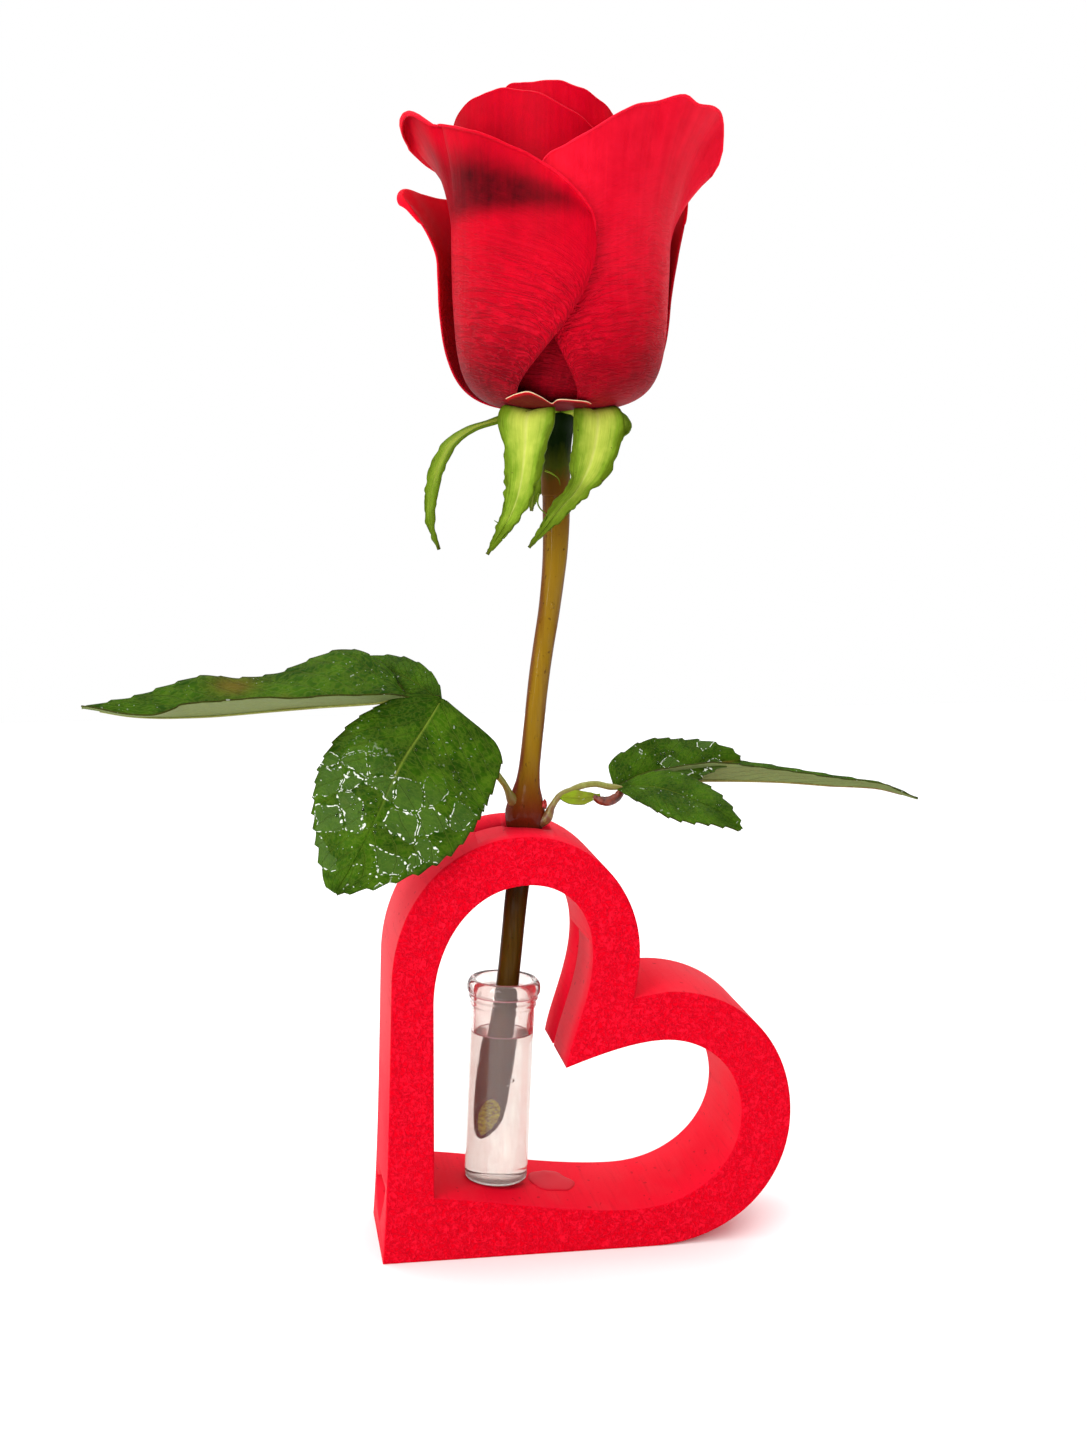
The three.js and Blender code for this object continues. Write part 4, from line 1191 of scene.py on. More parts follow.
class ROSE_OT_stem(bpy.types.Operator):
    """Makes the stem with its swollen node, its side bud and its slanting cut"""

    bl_idname = "rose.stem"
    bl_label = "Stem"

    def execute(self, context):
        settings = context.scene.rose_stem
        bm = new_mesh()
        for vert in lay_stem(bm):
            self.roughen(vert)
        cap = slant(bm)
        for face in cap:
            face.material_index = 1
        rim = bmesh.ops.inset_region(bm, faces=cap, thickness=BARK_RIM * MM, depth=-PITH_DEPTH * MM)
        for face in rim["faces"]:
            face.material_index = 0
        self.scars(bm)
        stem = make_piece("stem_bark", bm, stem_finish(settings), cut_finish(settings))
        mount(stem, "stem", "stem")
        mount(self.bud(settings), "stem")
        return {"FINISHED"}

    def roughen(self, vert):
        """Moves a point of the bark a little in or out, most at the swollen node."""
        spot = vert.co / MM
        centre = Vector((STEM_RAIL.point(spot.z / STEM_TOP).x, 0, spot.z))
        outward = Vector((spot.x - centre.x, spot.y, 0)).normalized()
        swell = 0.06 * noise.noise(Vector((spot.x * 0.7, spot.y * 0.7, spot.z * 0.12)))
        swell += 0.12 * noise.noise(spot * 0.5) * hill(spot.z, 100, 8)
        vert.co += outward * swell * MM

    def scars(self, bm):
        """Small raised scars where prickles and scales were."""
        chance = random.Random(3)
        for height, turn, size in SCARS:
            centre = STEM_RAIL.point(stem_place(height))
            r = STEM_RADIUS_X(height) - size * 0.35
            angle = math.radians(turn + chance.uniform(-4, 4))
            lay_ball(bm, centre + around(r, angle), size, stretch=(1, 1, 1.5), rounds=3)

    def bud(self, settings):
        """The red bud in the angle of the right leaf, wrapped in small scales."""
        bm = new_mesh()
        for k, (turn, reach, height) in enumerate(BUD_SCALES):
            def spot(side, climb):
                half = 1.3 * 0.95 * math.sin(math.pi * min(climb * 0.9 + 0.12, 1)) ** 0.8
                r = (reach + 0.35 * math.sin(math.pi * climb)) * (1 - climb * 0.75)
                lean = Vector((climb * BUD_LEAN, 0, 0))
                rise = -1 + height * climb + 0.08 * k
                return BUD_FOOT + lean + around(r, math.radians(turn) + side * half, rise)

            lay_sheet(bm, columns=10, rows=12, spot=spot)
        return make_piece("side_bud", bm, bud_finish(settings), thickness=BUD_THICKNESS * MM)


def stem_place(height):
    """How far along the stem's rail a height is."""
    low, high = 0, 1
    for _ in range(24):
        middle = (low + high) / 2
        if STEM_RAIL.point(middle).z < height:
            low = middle
        else:
            high = middle
    return low


# The leaves

SIDE_VEINS, VEIN_SWEEP = 12, 3.2
LEAFLET_COLUMNS, ROWS_PER_TOOTH, FEWEST_ROWS = 26, 9, 30
# Half widths of a wing, as shares of the largest, over the midrib from foot (0) to tip (1)
ROUND_RIGHT = [
    (0, 0.05), (0.06, 0.44), (0.23, 0.8), (0.43, 1), (0.59, 0.97), (0.75, 0.76), (0.88, 0.5), (0.96, 0.26),
    (1, 0.02),
]
ROUND_LEFT = [
    (0, 0.1), (0.04, 0.74), (0.17, 0.95), (0.33, 1), (0.48, 0.99), (0.6, 0.9), (0.72, 0.73), (0.85, 0.42),
    (0.94, 0.18), (1, 0.02),
]
OVAL = [(0, 0.08), (0.12, 0.55), (0.3, 0.94), (0.45, 1), (0.65, 0.82), (0.85, 0.4), (1, 0.02)]
SLENDER = [(0, 0.08), (0.2, 0.64), (0.42, 1), (0.6, 0.95), (0.8, 0.6), (0.93, 0.25), (1, 0.03)]
BROAD = [(0, 0.2), (0.06, 0.72), (0.2, 0.82), (0.45, 1), (0.62, 0.92), (0.78, 0.66), (1, 0.03)]
TAPERING = [(0, 0.06), (0.14, 0.6), (0.3, 1), (0.47, 0.8), (0.62, 0.55), (0.78, 0.37), (1, 0.04)]


class Leaflet:
    """Two toothed wings on a midrib, each folded up or down by its own angle.

    A stain is its climb and spread, its side and spread, and its strength. The skin gets wet from the
    first climb in wet to the second, and is wet above.
    """

    def __init__(self, midrib, face, right, left, folds, teeth, tooth, dome=0, wave=0, stains=(), wet=None):
        self.rib = Rail(midrib)
        self.face = Vector(face)
        self.widths = {1: smooth_through(right), -1: smooth_through(left)}
        self.folds = {sign: smooth_through(steady(fold)) for sign, fold in zip((1, -1), folds)}
        self.teeth, self.tooth, self.dome, self.wave = teeth, tooth, dome, wave
        self.stains, self.shore = stains, wet

    def jag(self, sign, climb):
        """How far a tooth stands out at this place of the margin, from 0 to 1."""
        place = climb * self.teeth + (0.35 if sign < 0 else 0)
        tooth, part = math.floor(place), place - math.floor(place)
        size = 0.75 + 0.5 * noise.noise(Vector((tooth * 1.7, sign * 3.1, self.teeth)))
        return size * ((part / 0.78) ** 1.4 if part < 0.78 else (1 - part) / 0.22)

    def spot(self, side, climb):
        """A point of the blade: side runs from the left margin to the right one, climb from foot to tip."""
        centre = self.rib.point(climb)
        tangent = self.rib.tangent(climb)
        up = square_to(tangent, self.face)
        across = tangent.cross(up)
        share = abs(side)
        sign = -1 if side < 0 else 1
        jag = self.jag(sign, climb) * self.tooth * ease(share, 0.86, 1) * ease(climb, 0.02, 0.1)
        reach = max(self.widths[sign](climb), 0.3) * share + jag
        fold = math.radians(self.folds[sign](climb))
        lift = reach * math.sin(fold) - self.dome * share * share * math.sin(math.pi * climb)
        lift += self.wave * share * share * math.sin(3 * math.pi * climb + sign)
        lift -= 0.22 * hill(share * self.widths[sign](climb), 0, 0.7)
        lift += self.quilt(share, climb) + 0.25 * noise.noise(centre * 0.11 + across * side * 1.4)
        return centre + across * sign * reach * math.cos(fold) + up * lift + tangent * jag

    def quilt(self, share, climb):
        """The skin bulges a little between side veins."""
        ladder = climb * SIDE_VEINS - share * VEIN_SWEEP
        return 0.12 * abs(math.sin(math.pi * ladder)) * math.sin(math.pi * min(share, 1))

    def stain(self, side, climb):
        """How brown the skin is here."""
        return max((
            strength * hill(climb, middle, spread) * hill(side, place, width)
            for middle, spread, place, width, strength in self.stains
        ), default=0)

    def wet(self, side, climb):
        """How much of the skin is under water here."""
        return ease(climb, *self.shore) if self.shore else 0

    def lay(self, bm):
        rows = max(self.teeth * ROWS_PER_TOOTH, FEWEST_ROWS)
        lay_sheet(bm, LEAFLET_COLUMNS, rows, self.spot, {"stain": self.stain, "wet": self.wet})

    def lay_rib(self, bm, thick, thin):
        """The round midrib under the blade."""
        def radius(t):
            return thick + (thin - thick) * t

        points = []
        for k in range(13):
            t = 0.02 + 0.93 * k / 12
            up = square_to(self.rib.tangent(t), self.face)
            points.append(self.rib.point(t) - up * (0.22 + radius(t) * 0.7))
        lay_bar(
            bm, Rail(points), sides=8, rows=40, radii=lambda t, _: (radius(t), radius(t)),
            reference=self.face,
        )


LEFT_LEAFLETS = {
    "hanging": Leaflet(
        midrib=[
            (-15.9, -8.4, 127.6), (-20.6, -11.6, 121.1), (-25.6, -15.6, 114.6), (-30.8, -19.4, 104.9),
            (-36, -22, 95.2), (-40.8, -23, 87.7),
        ],
        face=(-0.05, -1, 0.32), right=scaled(ROUND_RIGHT, 15.6), left=scaled(ROUND_LEFT, 20.4),
        folds=(-4, -4), teeth=15, tooth=0.75, dome=1.4, wave=0.7, wet=(0.3, 0.5),
        stains=((0.62, 0.012, 0.5, 0.03, 0.8),),
    ),
    "long": Leaflet(
        midrib=[
            (-16, -8.4, 127), (-24.1, -8, 128.1), (-30.7, -7.8, 127.2), (-40.6, -7, 126.6),
            (-53.6, -6, 125.6), (-68.2, -5, 124.5), (-82.6, -4, 124.6), (-94.1, -3, 126.6),
        ],
        face=(0, 0, 1),
        right=[
            (0, 0.4), (0.1, 0.5), (0.14, 9), (0.2, 13.6), (0.28, 15.4), (0.36, 13.6), (0.46, 10.4),
            (0.56, 9.4), (0.66, 10.2), (0.76, 8), (0.88, 4.2), (1, 0.3),
        ],
        left=[
            (0, 0.4), (0.1, 0.5), (0.16, 5), (0.26, 7), (0.36, 8), (0.44, 10.4), (0.55, 11),
            (0.68, 10.4), (0.8, 6.4), (0.9, 2.6), (1, 0.3),
        ],
        folds=(46, [(0, 18), (0.4, 18), (0.5, 23), (0.7, 23), (0.8, 8), (1, 6)]), teeth=16, tooth=0.5,
        wave=0.5, stains=((0.58, 0.06, 0.75, 0.25, 0.75), (0.44, 0.02, 0.1, 0.2, 0.5)),
    ),
    "back": Leaflet(
        midrib=[
            (-16.2, -8.2, 126.8), (-19.6, -5, 129.6), (-24.6, -1.5, 132.4), (-30, 2.4, 134),
            (-35.5, 6, 134.2),
        ],
        face=(-0.25, -0.75, 0.6), right=scaled(OVAL, 4.6), left=scaled(OVAL, 4.4),
        folds=(-6, -10), teeth=7, tooth=0.5,
    ),
}
LEFT_STALK = [
    (2.6, -0.4, 100.6), (0.6, -1.6, 103.4), (-1.1, -3, 106.8), (-4.1, -5, 110.8), (-7.5, -6.8, 115.8),
    (-11.8, -7.8, 121.6), (-15.6, -7.9, 126), (-16.6, -7.8, 126.8),
]
RIGHT_LEAFLETS = {
    "lower": Leaflet(
        midrib=[
            (25.4, -1, 105.2), (29.1, -4, 106), (34.2, -7, 106), (40.8, -10, 103.7), (46.6, -13, 101),
            (51.2, -15, 97.4),
        ],
        face=(0.15, -0.68, 0.72), right=scaled(SLENDER, 7.2), left=scaled(SLENDER, 5.6),
        folds=(-4, 6), teeth=10, tooth=0.7,
    ),
    "folded": Leaflet(
        midrib=[
            (25.4, -0.6, 105.2), (29, 1, 107), (34, 2.4, 108.4), (41, 3.2, 109), (48.5, 3.8, 110),
            (56, 4.4, 110.4),
        ],
        face=(0, -0.55, 0.84), right=scaled(OVAL, 5), left=scaled(BROAD, 7.6),
        folds=(-16, 24), teeth=9, tooth=0.5, wave=0.7, wet=(0.2, 0.35),
        stains=((0.86, 0.1, 0.55, 0.3, 0.9),),
    ),
    "long": Leaflet(
        midrib=[
            (25.2, -0.6, 105.4), (33, 3, 106.2), (43, 5, 105.8), (55, 6, 105.3), (67, 6, 104.6),
            (79, 5.6, 103.4), (90.5, 4.6, 102.5), (99.6, 3, 100),
        ],
        face=(0, 0, 1), right=scaled(TAPERING, 5.8), left=scaled(TAPERING, 7.2),
        folds=(48, 36), teeth=12, tooth=0.35,
    ),
}
STIPULE = Leaflet(
    midrib=[(11.2, -2.4, 103.8), (14, -2.8, 103.4), (17.4, -3, 103.3), (21, -2.6, 103.9)],
    face=(0.1, -0.9, 0.4), right=scaled(OVAL, 1.5), left=scaled(OVAL, 1.9),
    folds=(0, 0), teeth=3, tooth=0.15,
)
RIGHT_STALK = [
    (6.2, -0.9, 97.2), (8.6, -1.6, 98.6), (9.9, -1.8, 101.4), (11.9, -1.8, 104), (14.4, -1.5, 105),
    (17, -1.2, 105.9), (20.3, -1, 106.2), (23.4, -1, 105.5), (27, -1.6, 105.3),
]
CURL = Rail([
    (19.4, -2.4, 103.6), (21.2, -2.6, 102.6), (23.4, -2.4, 102.5), (25.6, -1.8, 103.8), (26.2, -1.2, 105.2),
])
CURL_THICKNESS = 0.3
# Leaflet, climb and its spread, side and its spread, and number of drops
DROP_PATCHES = [
    (LEFT_LEAFLETS["hanging"], 0.62, 0.07, 0.25, 0.35, 16),
    (LEFT_LEAFLETS["hanging"], 0.35, 0.2, -0.3, 0.4, 12),
    (RIGHT_LEAFLETS["folded"], 0.45, 0.1, -0.3, 0.3, 10),
    (RIGHT_LEAFLETS["lower"], 0.5, 0.3, 0, 0.5, 6),
]


class ROSE_OT_leaves(bpy.types.Operator):
    """Makes the two leaves: toothed leaflets, their midribs and stalks, and the drops on them"""

    bl_idname = "rose.leaves"
    bl_label = "Leaves"

    def execute(self, context):
        settings = context.scene.rose_leaf
        upper = leaf_finish(
            "leaf_upper_side", settings, settings.light, settings.dark, roughness=0.26, relief_mm=0.35,
        )
        under = leaf_finish(
            "leaf_underside", settings, settings.under, settings.under, roughness=0.5, relief_mm=-0.3,
            wetness=0,
        )
        bark = self.stalk_finish(settings)
        for side, leaflets, stalk, foot_end in (
            ("left", LEFT_LEAFLETS, LEFT_STALK, 0.15), ("right", RIGHT_LEAFLETS, RIGHT_STALK, 0.2),
        ):
            bm = new_mesh("stain", "wet")
            for leaflet in leaflets.values():
                leaflet.lay(bm)
            blades = make_piece(f"leaf_{side}_blades", bm, upper, under, thickness=settings.thickness)
            mount(blades, "leaf", f"leaf_{side}")
            bm = new_mesh()
            self.lay_stalk(bm, stalk, foot_end)
            for leaflet in leaflets.values():
                leaflet.lay_rib(bm, 0.42, 0.16)
            mount(make_piece(f"leaf_{side}_stalk", bm, bark), "leaf")
        mount(self.stipule(settings), "leaf")
        mount(self.curl(settings), "leaf")
        mount(self.drops(), "water")
        return {"FINISHED"}

    def lay_stalk(self, bm, points, foot_end):
        """A stalk with a thick foot, which ends at the place given, and a thin tip."""
        def radii(t, centre):
            size = 0.75 + 0.55 * (1 - ease(t, foot_end * 0.5, foot_end * 1.4))
            size += 0.07 * noise.noise(centre * 0.8)
            size *= 1 - 0.6 * ease(t, 0.88, 1)
            return size, size

        lay_bar(bm, Rail(points), sides=16, rows=70, radii=radii)

    def stalk_finish(self, settings):
        """Yellow green skin with pale fibres, brown at the foot."""
        bark = Finish("stalk_skin", {"Specular IOR Level": 0.5})
        fibres = bark.cloud(bark.place(1, 1, 0.6), 0.9, 3, 0.6)
        height = bark.split(bark.place())[2]
        colour = bark.blend(settings.stalk_foot, settings.stalk, (height / 130).ease(0.76, 0.84))
        colour = bark.blend(colour, settings.fibre, fibres.ease(0.45, 0.75) * 0.6)
        bark.set({
            "Base Color": colour,
            "Roughness": 0.34 + fibres * 0.2,
            "Normal": bark.relief(fibres, 0.15),
        })
        return bark.material

    def stipule(self, settings):
        """The small yellow-green leaf that wraps the foot of the right stalk."""
        bm = new_mesh("stain", "wet")
        STIPULE.lay(bm)
        skin = leaf_finish(
            "stipule_skin", settings, settings.stipule, settings.stalk, roughness=0.3, relief_mm=0.2,
        )
        return make_piece("stipule", bm, skin, thickness=settings.thickness)

    def curl(self, settings):
        """The dried brown curl between the stipule and the leaflets."""
        def spot(side, climb):
            centre = CURL.point(climb)
            tangent = CURL.tangent(climb)
            first = square_to(tangent, Vector((0, 1, 0)))
            second = tangent.cross(first)
            r = (0.5 + 0.5 * math.sin(math.pi * climb)) * (1 - 0.12 * side)
            r += 0.16 * noise.noise(Vector((side * 2, climb * 9, 0)))
            angle = side * math.pi * 1.08 - 0.6
            return centre + first * r * math.cos(angle) + second * r * math.sin(angle)

        bm = new_mesh()
        lay_sheet(bm, columns=24, rows=30, spot=spot)
        return make_piece("dried_curl", bm, dry_finish(settings), thickness=CURL_THICKNESS * MM)

    def drops(self):
        """Flat drops of several sizes, scattered in patches and lying square to the skin."""
        chance = random.Random(11)
        bm = new_mesh()
        for leaflet, climb, climb_spread, side, side_spread, count in DROP_PATCHES:
            for _ in range(count):
                a = side + chance.uniform(-side_spread, side_spread)
                t = climb + chance.uniform(-climb_spread, climb_spread)
                spot = leaflet.spot(a, t)
                across = leaflet.spot(a + 0.03, t) - leaflet.spot(a - 0.03, t)
                along = leaflet.spot(a, t + 0.01) - leaflet.spot(a, t - 0.01)
                up = across.cross(along).normalized()
                size = chance.uniform(0.14, 0.42)
                lay_ball(bm, spot + up * 0.17, size, (1, 1.2, 0.55), turn=up.to_track_quat("Z", "Y"))
        return make_piece("leaf_drops", bm, water_finish("drop_water"))


# The calyx

HIP_PROFILE = [
    (0, 171.8), (3.2, 171.8), (3.25, 175), (3.35, 178), (3.5, 183), (3.9, 186.4), (5, 188.9), (5.2, 190.8),
    (0, 190.8),
]
BLOOM_X = 11
# A sepal's half width runs over its spine, its rib faces a turn in degrees, and its tip is dark from a climb
Sepal = namedtuple("Sepal", "spine width facing dark_from")
SEPALS = [
    Sepal(
        spine=[
            (9, -2, 189.8), (6, -6, 190.5), (3.6, -10.2, 190.7), (2.6, -12, 188.9), (2, -12.4, 181),
            (1, -12, 173.5), (-1.4, -11.4, 167), (-6, -11, 159.4),
        ],
        width=[
            (0, 3.2), (0.15, 4.8), (0.3, 6.3), (0.42, 4.8), (0.6, 3.7), (0.75, 2.4), (0.88, 1.3), (1, 0.1),
        ],
        facing=-20, dark_from=0.8,
    ),
    Sepal(
        spine=[
            (13.4, -2, 189.8), (16, -6, 190.5), (18.1, -9.6, 190.7), (18.4, -11.4, 188.9),
            (17.2, -12, 181), (14.2, -11.6, 174), (9.8, -10.6, 168.8), (3.4, -9.6, 160.8),
        ],
        width=[
            (0, 3.2), (0.14, 4.4), (0.28, 6), (0.42, 5.4), (0.52, 4.7), (0.57, 3.6), (0.6, 2.9), (0.74, 2.3),
            (0.88, 1.2), (1, 0.1),
        ],
        facing=14, dark_from=0.54,
    ),
    Sepal(
        spine=[
            (8.6, 0.6, 189.8), (3, 1.6, 190), (-3, 2.4, 188.2), (-7.8, 3, 186.6), (-12.4, 3, 183.2),
            (-15.4, 3, 177.6), (-16.9, 3, 171), (-16.8, 3, 165), (-15.2, 3, 160),
        ],
        width=[(0, 3), (0.2, 2.2), (0.4, 2.2), (0.6, 2.5), (0.8, 1.7), (0.92, 0.7), (1, 0.1)],
        facing=-58, dark_from=0.05,
    ),
    Sepal(
        spine=[
            (13.6, 1.4, 189.8), (19.4, 3.8, 190.4), (24.6, 6.4, 190.2), (26.6, 8.4, 188.2),
            (24.2, 10.2, 183), (21.2, 11, 177.6), (18, 11, 172),
        ],
        width=[(0, 3), (0.25, 4.2), (0.45, 4), (0.7, 2.6), (0.9, 1.1), (1, 0.1)],
        facing=118, dark_from=0.3,
    ),
    Sepal(
        spine=[
            (10.8, 2.6, 189.8), (10.4, 7, 190.5), (9.8, 11, 190.5), (9.2, 13.4, 187.4), (8.6, 14, 178),
            (7.6, 13.6, 168.4),
        ],
        width=[(0, 3.2), (0.25, 5), (0.42, 5), (0.7, 3), (0.9, 1.2), (1, 0.1)],
        facing=184, dark_from=0.6,
    ),
]
# Spots and radius of each fine thread
FILAMENTS = [
    ([(6.6, -11.8, 177.6), (8.2, -12.2, 176.9), (9.6, -12, 175.8), (10, -11.8, 174.4)], 0.16),
    ([(5.4, -11, 172.6), (5.2, -10.6, 170.6), (5.8, -10.2, 169.4), (7.4, -9.6, 168), (9, -8.6, 166.8)], 0.2),
    ([(-1.8, -11, 165.8), (-2.6, -10.8, 165.9), (-3.4, -10.6, 166.2), (-4.4, -10.4, 166.8)], 0.22),
]


class ROSE_OT_calyx(bpy.types.Operator):
    """Makes the hip and the five sepals that bend down from it"""

    bl_idname = "rose.calyx"
    bl_label = "Calyx"

    def execute(self, context):
        settings = context.scene.rose_calyx
        bm = new_mesh("stain", "dark")
        for k, sepal in enumerate(SEPALS):
            self.lay_sepal(bm, sepal, k)
        skin = sepal_finish(settings)
        mount(make_piece("sepals", bm, skin, thickness=settings.thickness), "calyx", "calyx")
        bm = new_mesh()
        lay_spin(bm, rounded_corners(HIP_PROFILE, 0.8), steps=40, axis_x=BLOOM_X)
        mount(make_piece("hip", bm, hip_finish(settings)), "calyx")
        bm = new_mesh()
        for points, radius in FILAMENTS:
            lay_bar(
                bm, Rail(points), sides=8, rows=24, radii=lambda t, _: [radius * (1.15 - 0.8 * t)] * 2,
            )
        mount(make_piece("sepal_threads", bm, skin), "calyx")
        return {"FINISHED"}

    def lay_sepal(self, bm, sepal, seed):
        """A sepal with ragged sides and a raised rib, bent along its spine."""
        rail = Rail(sepal.spine)
        sideways = around(1, math.radians(sepal.facing))
        half_width = smooth_through(sepal.width)

        def spot(side, climb):
            centre = rail.point(climb)
            tangent = rail.tangent(climb)
            across = square_to(tangent, sideways)
            up = across.cross(tangent)
            ragged = 0.8 * noise.noise(Vector((climb * 26, side * 0.7, seed * 5))) * ease(climb, 0.35, 0.5)
            reach = half_width(climb) * side + (ragged * side if abs(side) > 0.9 else 0)
            lift = -0.12 * half_width(climb) * side * side + 0.3 * hill(side, 0, 0.16)
            lift += 0.25 * noise.noise(Vector((side * 1.5, climb * 7, seed * 3)))
            return centre + across * reach + up * lift

        def stain(side, climb):
            speckle = noise.noise(Vector((side * 6, climb * 40, seed)))
            return ease(speckle, 0.55, 0.7) * ease(abs(side), 0.4, 1) + 0.5 * ease(climb, 0.95, 1)

        def dark(side, climb):
            return 0.5 * ease(climb, sepal.dark_from, sepal.dark_from + 0.08)

        lay_sheet(bm, columns=16, rows=90, spot=spot, marks={"stain": stain, "dark": dark})


# The bloom

BLOOM_BASE = 191
ROOT_RADIUS = 5
BOWL_HEIGHT, BOWL_POWER = 2.4, 0.6
SPREAD_HEIGHT = 34
BLOOM_FRONT = -9.7
LIP_START = 0.84
LIP_ROLL, LIP_TURN = 0.7, 100
STUB_WALL, STUB_HALF, STUB_THICKNESS = 27.8, 31, 0.17
OUTER_GRID, INNER_GRID = (112, 96), (48, 52)
# The painted shade under the front left petal's rim begins between these heights above the bloom's base
PAINTED_SHADE_EDGE = (38, 43)

# Azimuths are degrees from the bloom's front, positive to the right. The rim, girth and flare tables run
# over the sway, from -1 at the petal's left side to 1 at its right: the margin's height, the wall's radius,
# and how far the margin stands out from the wall, which it does above the start. The lip is the length
# rolled over past the margin. A hang is how much longer the lip is at one place, that place's sway and its
# spread; there the lip has the petal's own roll, as a radius, and its own turn in degrees.
Petal = namedtuple(
    "Petal", "azimuth half rim girth flare start bright lip hang roll turn",
    defaults=(0.5, (0, 0, 1), LIP_ROLL, LIP_TURN),
)


def domed(height, side_height):
    """A round rim, with its height in the middle and its side height at both sides."""
    rise = height - side_height
    places = (-1, -0.85, -0.5, 0, 0.5, 0.85, 1)
    return [(sway, side_height + rise * (1 - sway * sway) ** 0.5) for sway in places]


OUTER_PETALS = {
    "front_left": Petal(
        azimuth=-90, half=108, start=37, bright=0.56, lip=1.5, hang=(2.8, -0.06, 0.1), roll=1.1, turn=200,
        rim=[
            (-1, 36), (-0.7, 44), (-0.42, 51.5), (-0.3, 55), (-0.2, 58), (-0.1, 61.6), (0, 64), (0.09, 62.4),
            (0.15, 59.8), (0.19, 59.6), (0.28, 58.6), (0.4, 57), (0.565, 54.3), (0.79, 48.5), (0.9, 44),
            (0.95, 41.2), (0.98, 38.8), (1, 34.9),
        ],
        girth=[(-1, 22.4), (0, 22.9), (0.25, 23.4), (0.5, 24.8), (0.75, 26.4), (1, 27.6)],
        flare=[
            (-1, 0.5), (-0.7, 1), (-0.5, 3.4), (-0.38, 7), (-0.28, 10), (-0.1, 10.2), (0, 9), (0.08, 6.8),
            (0.13, 4.6), (0.165, 2.4), (0.21, 3), (0.28, 2.2), (0.4, 1), (0.79, -0.6), (1, -0.3),
        ],
    ),
    "front_right": Petal(
        azimuth=59, half=72, start=34, bright=0.8, lip=0.7,
        rim=[
            (-1, 43), (-0.9, 50), (-0.75, 52.7), (-0.57, 56.4), (-0.33, 60.6), (-0.15, 62.7), (-0.03, 64),
            (0.08, 63), (0.22, 63.2), (0.35, 62.2), (0.405, 59.4), (0.445, 54.8), (0.485, 51), (0.53, 48),
            (0.57, 45.4), (0.7, 42), (1, 38),
        ],
        girth=[(-1, 24.2), (-0.7, 24.8), (-0.3, 25.2), (1, 25.2)],
        flare=[
            (-1, -0.8), (-0.88, -0.3), (-0.7, 1.4), (-0.33, 2.3), (-0.15, 3.4), (-0.03, 6.6), (0.08, 7.6),
            (0.22, 9.6), (0.35, 10.6), (0.405, 11), (0.445, 10.6), (0.485, 8.6), (0.53, 5), (0.57, 2.2),
            (0.7, 0.6), (1, 0),
        ],
    ),
    "back_left": Petal(
        azimuth=-140, half=52, start=31, bright=0.6, lip=0.8, hang=(2.4, 0.74, 0.14), roll=0.8, turn=210,
        rim=[(-1, 34), (-0.6, 44), (0, 47.5), (0.5, 48.4), (0.7, 49), (0.85, 46), (1, 40)],
        girth=[(-1, 25), (-0.6, 26.1), (-0.2, 26.3), (1, 26.3)],
        flare=[(-1, 0), (0, 3), (0.4, 5.4), (0.65, 8), (0.8, 8.2), (0.92, 5.4), (1, 3)],
    ),
    "back_right": Petal(
        # bright=0.22 paints this whole petal dark: a painted shade, as it sits in shade beside the front
        # right petal
        azimuth=142, half=46, start=20, bright=0.22, lip=0.8,
        rim=[(-1, 40), (-0.9, 46.5), (-0.6, 50), (0, 52.5), (0.6, 50), (1, 38)],
        girth=steady(26.4), flare=[(-1, 2), (-0.9, 3), (0, 3), (1, 1)],
    ),
    "bud_left": Petal(
        azimuth=-30, half=85, start=36, bright=0.5,
        rim=[
            (-1, 48), (-0.7, 59), (-0.5, 62.6), (-0.3, 64.8), (-0.05, 65.8), (0.26, 63.6), (0.43, 61.2),
            (0.6, 57.8), (0.7, 55.4), (1, 44),
        ],
        girth=steady(21.2), flare=[(-1, 1.2), (-0.7, 1.2), (-0.3, -0.2), (0, -0.8), (1, -1)],
    ),
    "bud_right": Petal(
        azimuth=-2, half=80, start=45, bright=0.6,
        rim=[
            (-1, 50), (-0.49, 65.8), (-0.2, 66.9), (0.05, 66.9), (0.3, 65.3), (0.49, 62.6), (0.68, 58.9),
            (1, 48),
        ],
        girth=steady(19.2), flare=steady(-1.8),
    ),
}


def inner_petal(azimuth, half, radius, spiral, height):
    """A plain petal whose radius grows from its left side to its right by twice the spiral."""
    girth = [(-1, radius - spiral), (1, radius + spiral)]
    rim = domed(height, height * 0.64)
    return Petal(azimuth, half, rim, girth, flare=steady(-2), start=40, bright=0.64)


INNER_PETALS = [
    inner_petal(-168, 76, 20.2, 0, 63.5),
    inner_petal(118, 74, 20.6, 0.8, 64),
    inner_petal(-120, 88, 17.2, 0.6, 63.5),
    inner_petal(90, 95, 14.4, 1, 62.5),
    inner_petal(-50, 100, 11.2, 1.2, 60.5),
    inner_petal(150, 105, 8.2, 1.2, 59.5),
    inner_petal(20, 115, 5.7, 1, 58),
    inner_petal(-110, 125, 3.4, 0.8, 56.5),
]


def swayed(side):
    """The sway at a side of the sheet, whose columns stand closer together towards the petal's sides."""
    return math.sin(side * math.pi / 2)


def climbed(along):
    """How far up the wall a place of the sheet is, from the root (0) to the margin (1)."""
    return min(along / LIP_START, 1) ** 1.3


def bowl(wall, height):
    """The radius at a height, round at the root and then the wall's own."""
    return wall - (wall - min(ROOT_RADIUS, wall)) * math.exp(-((height / BOWL_HEIGHT) ** BOWL_POWER))


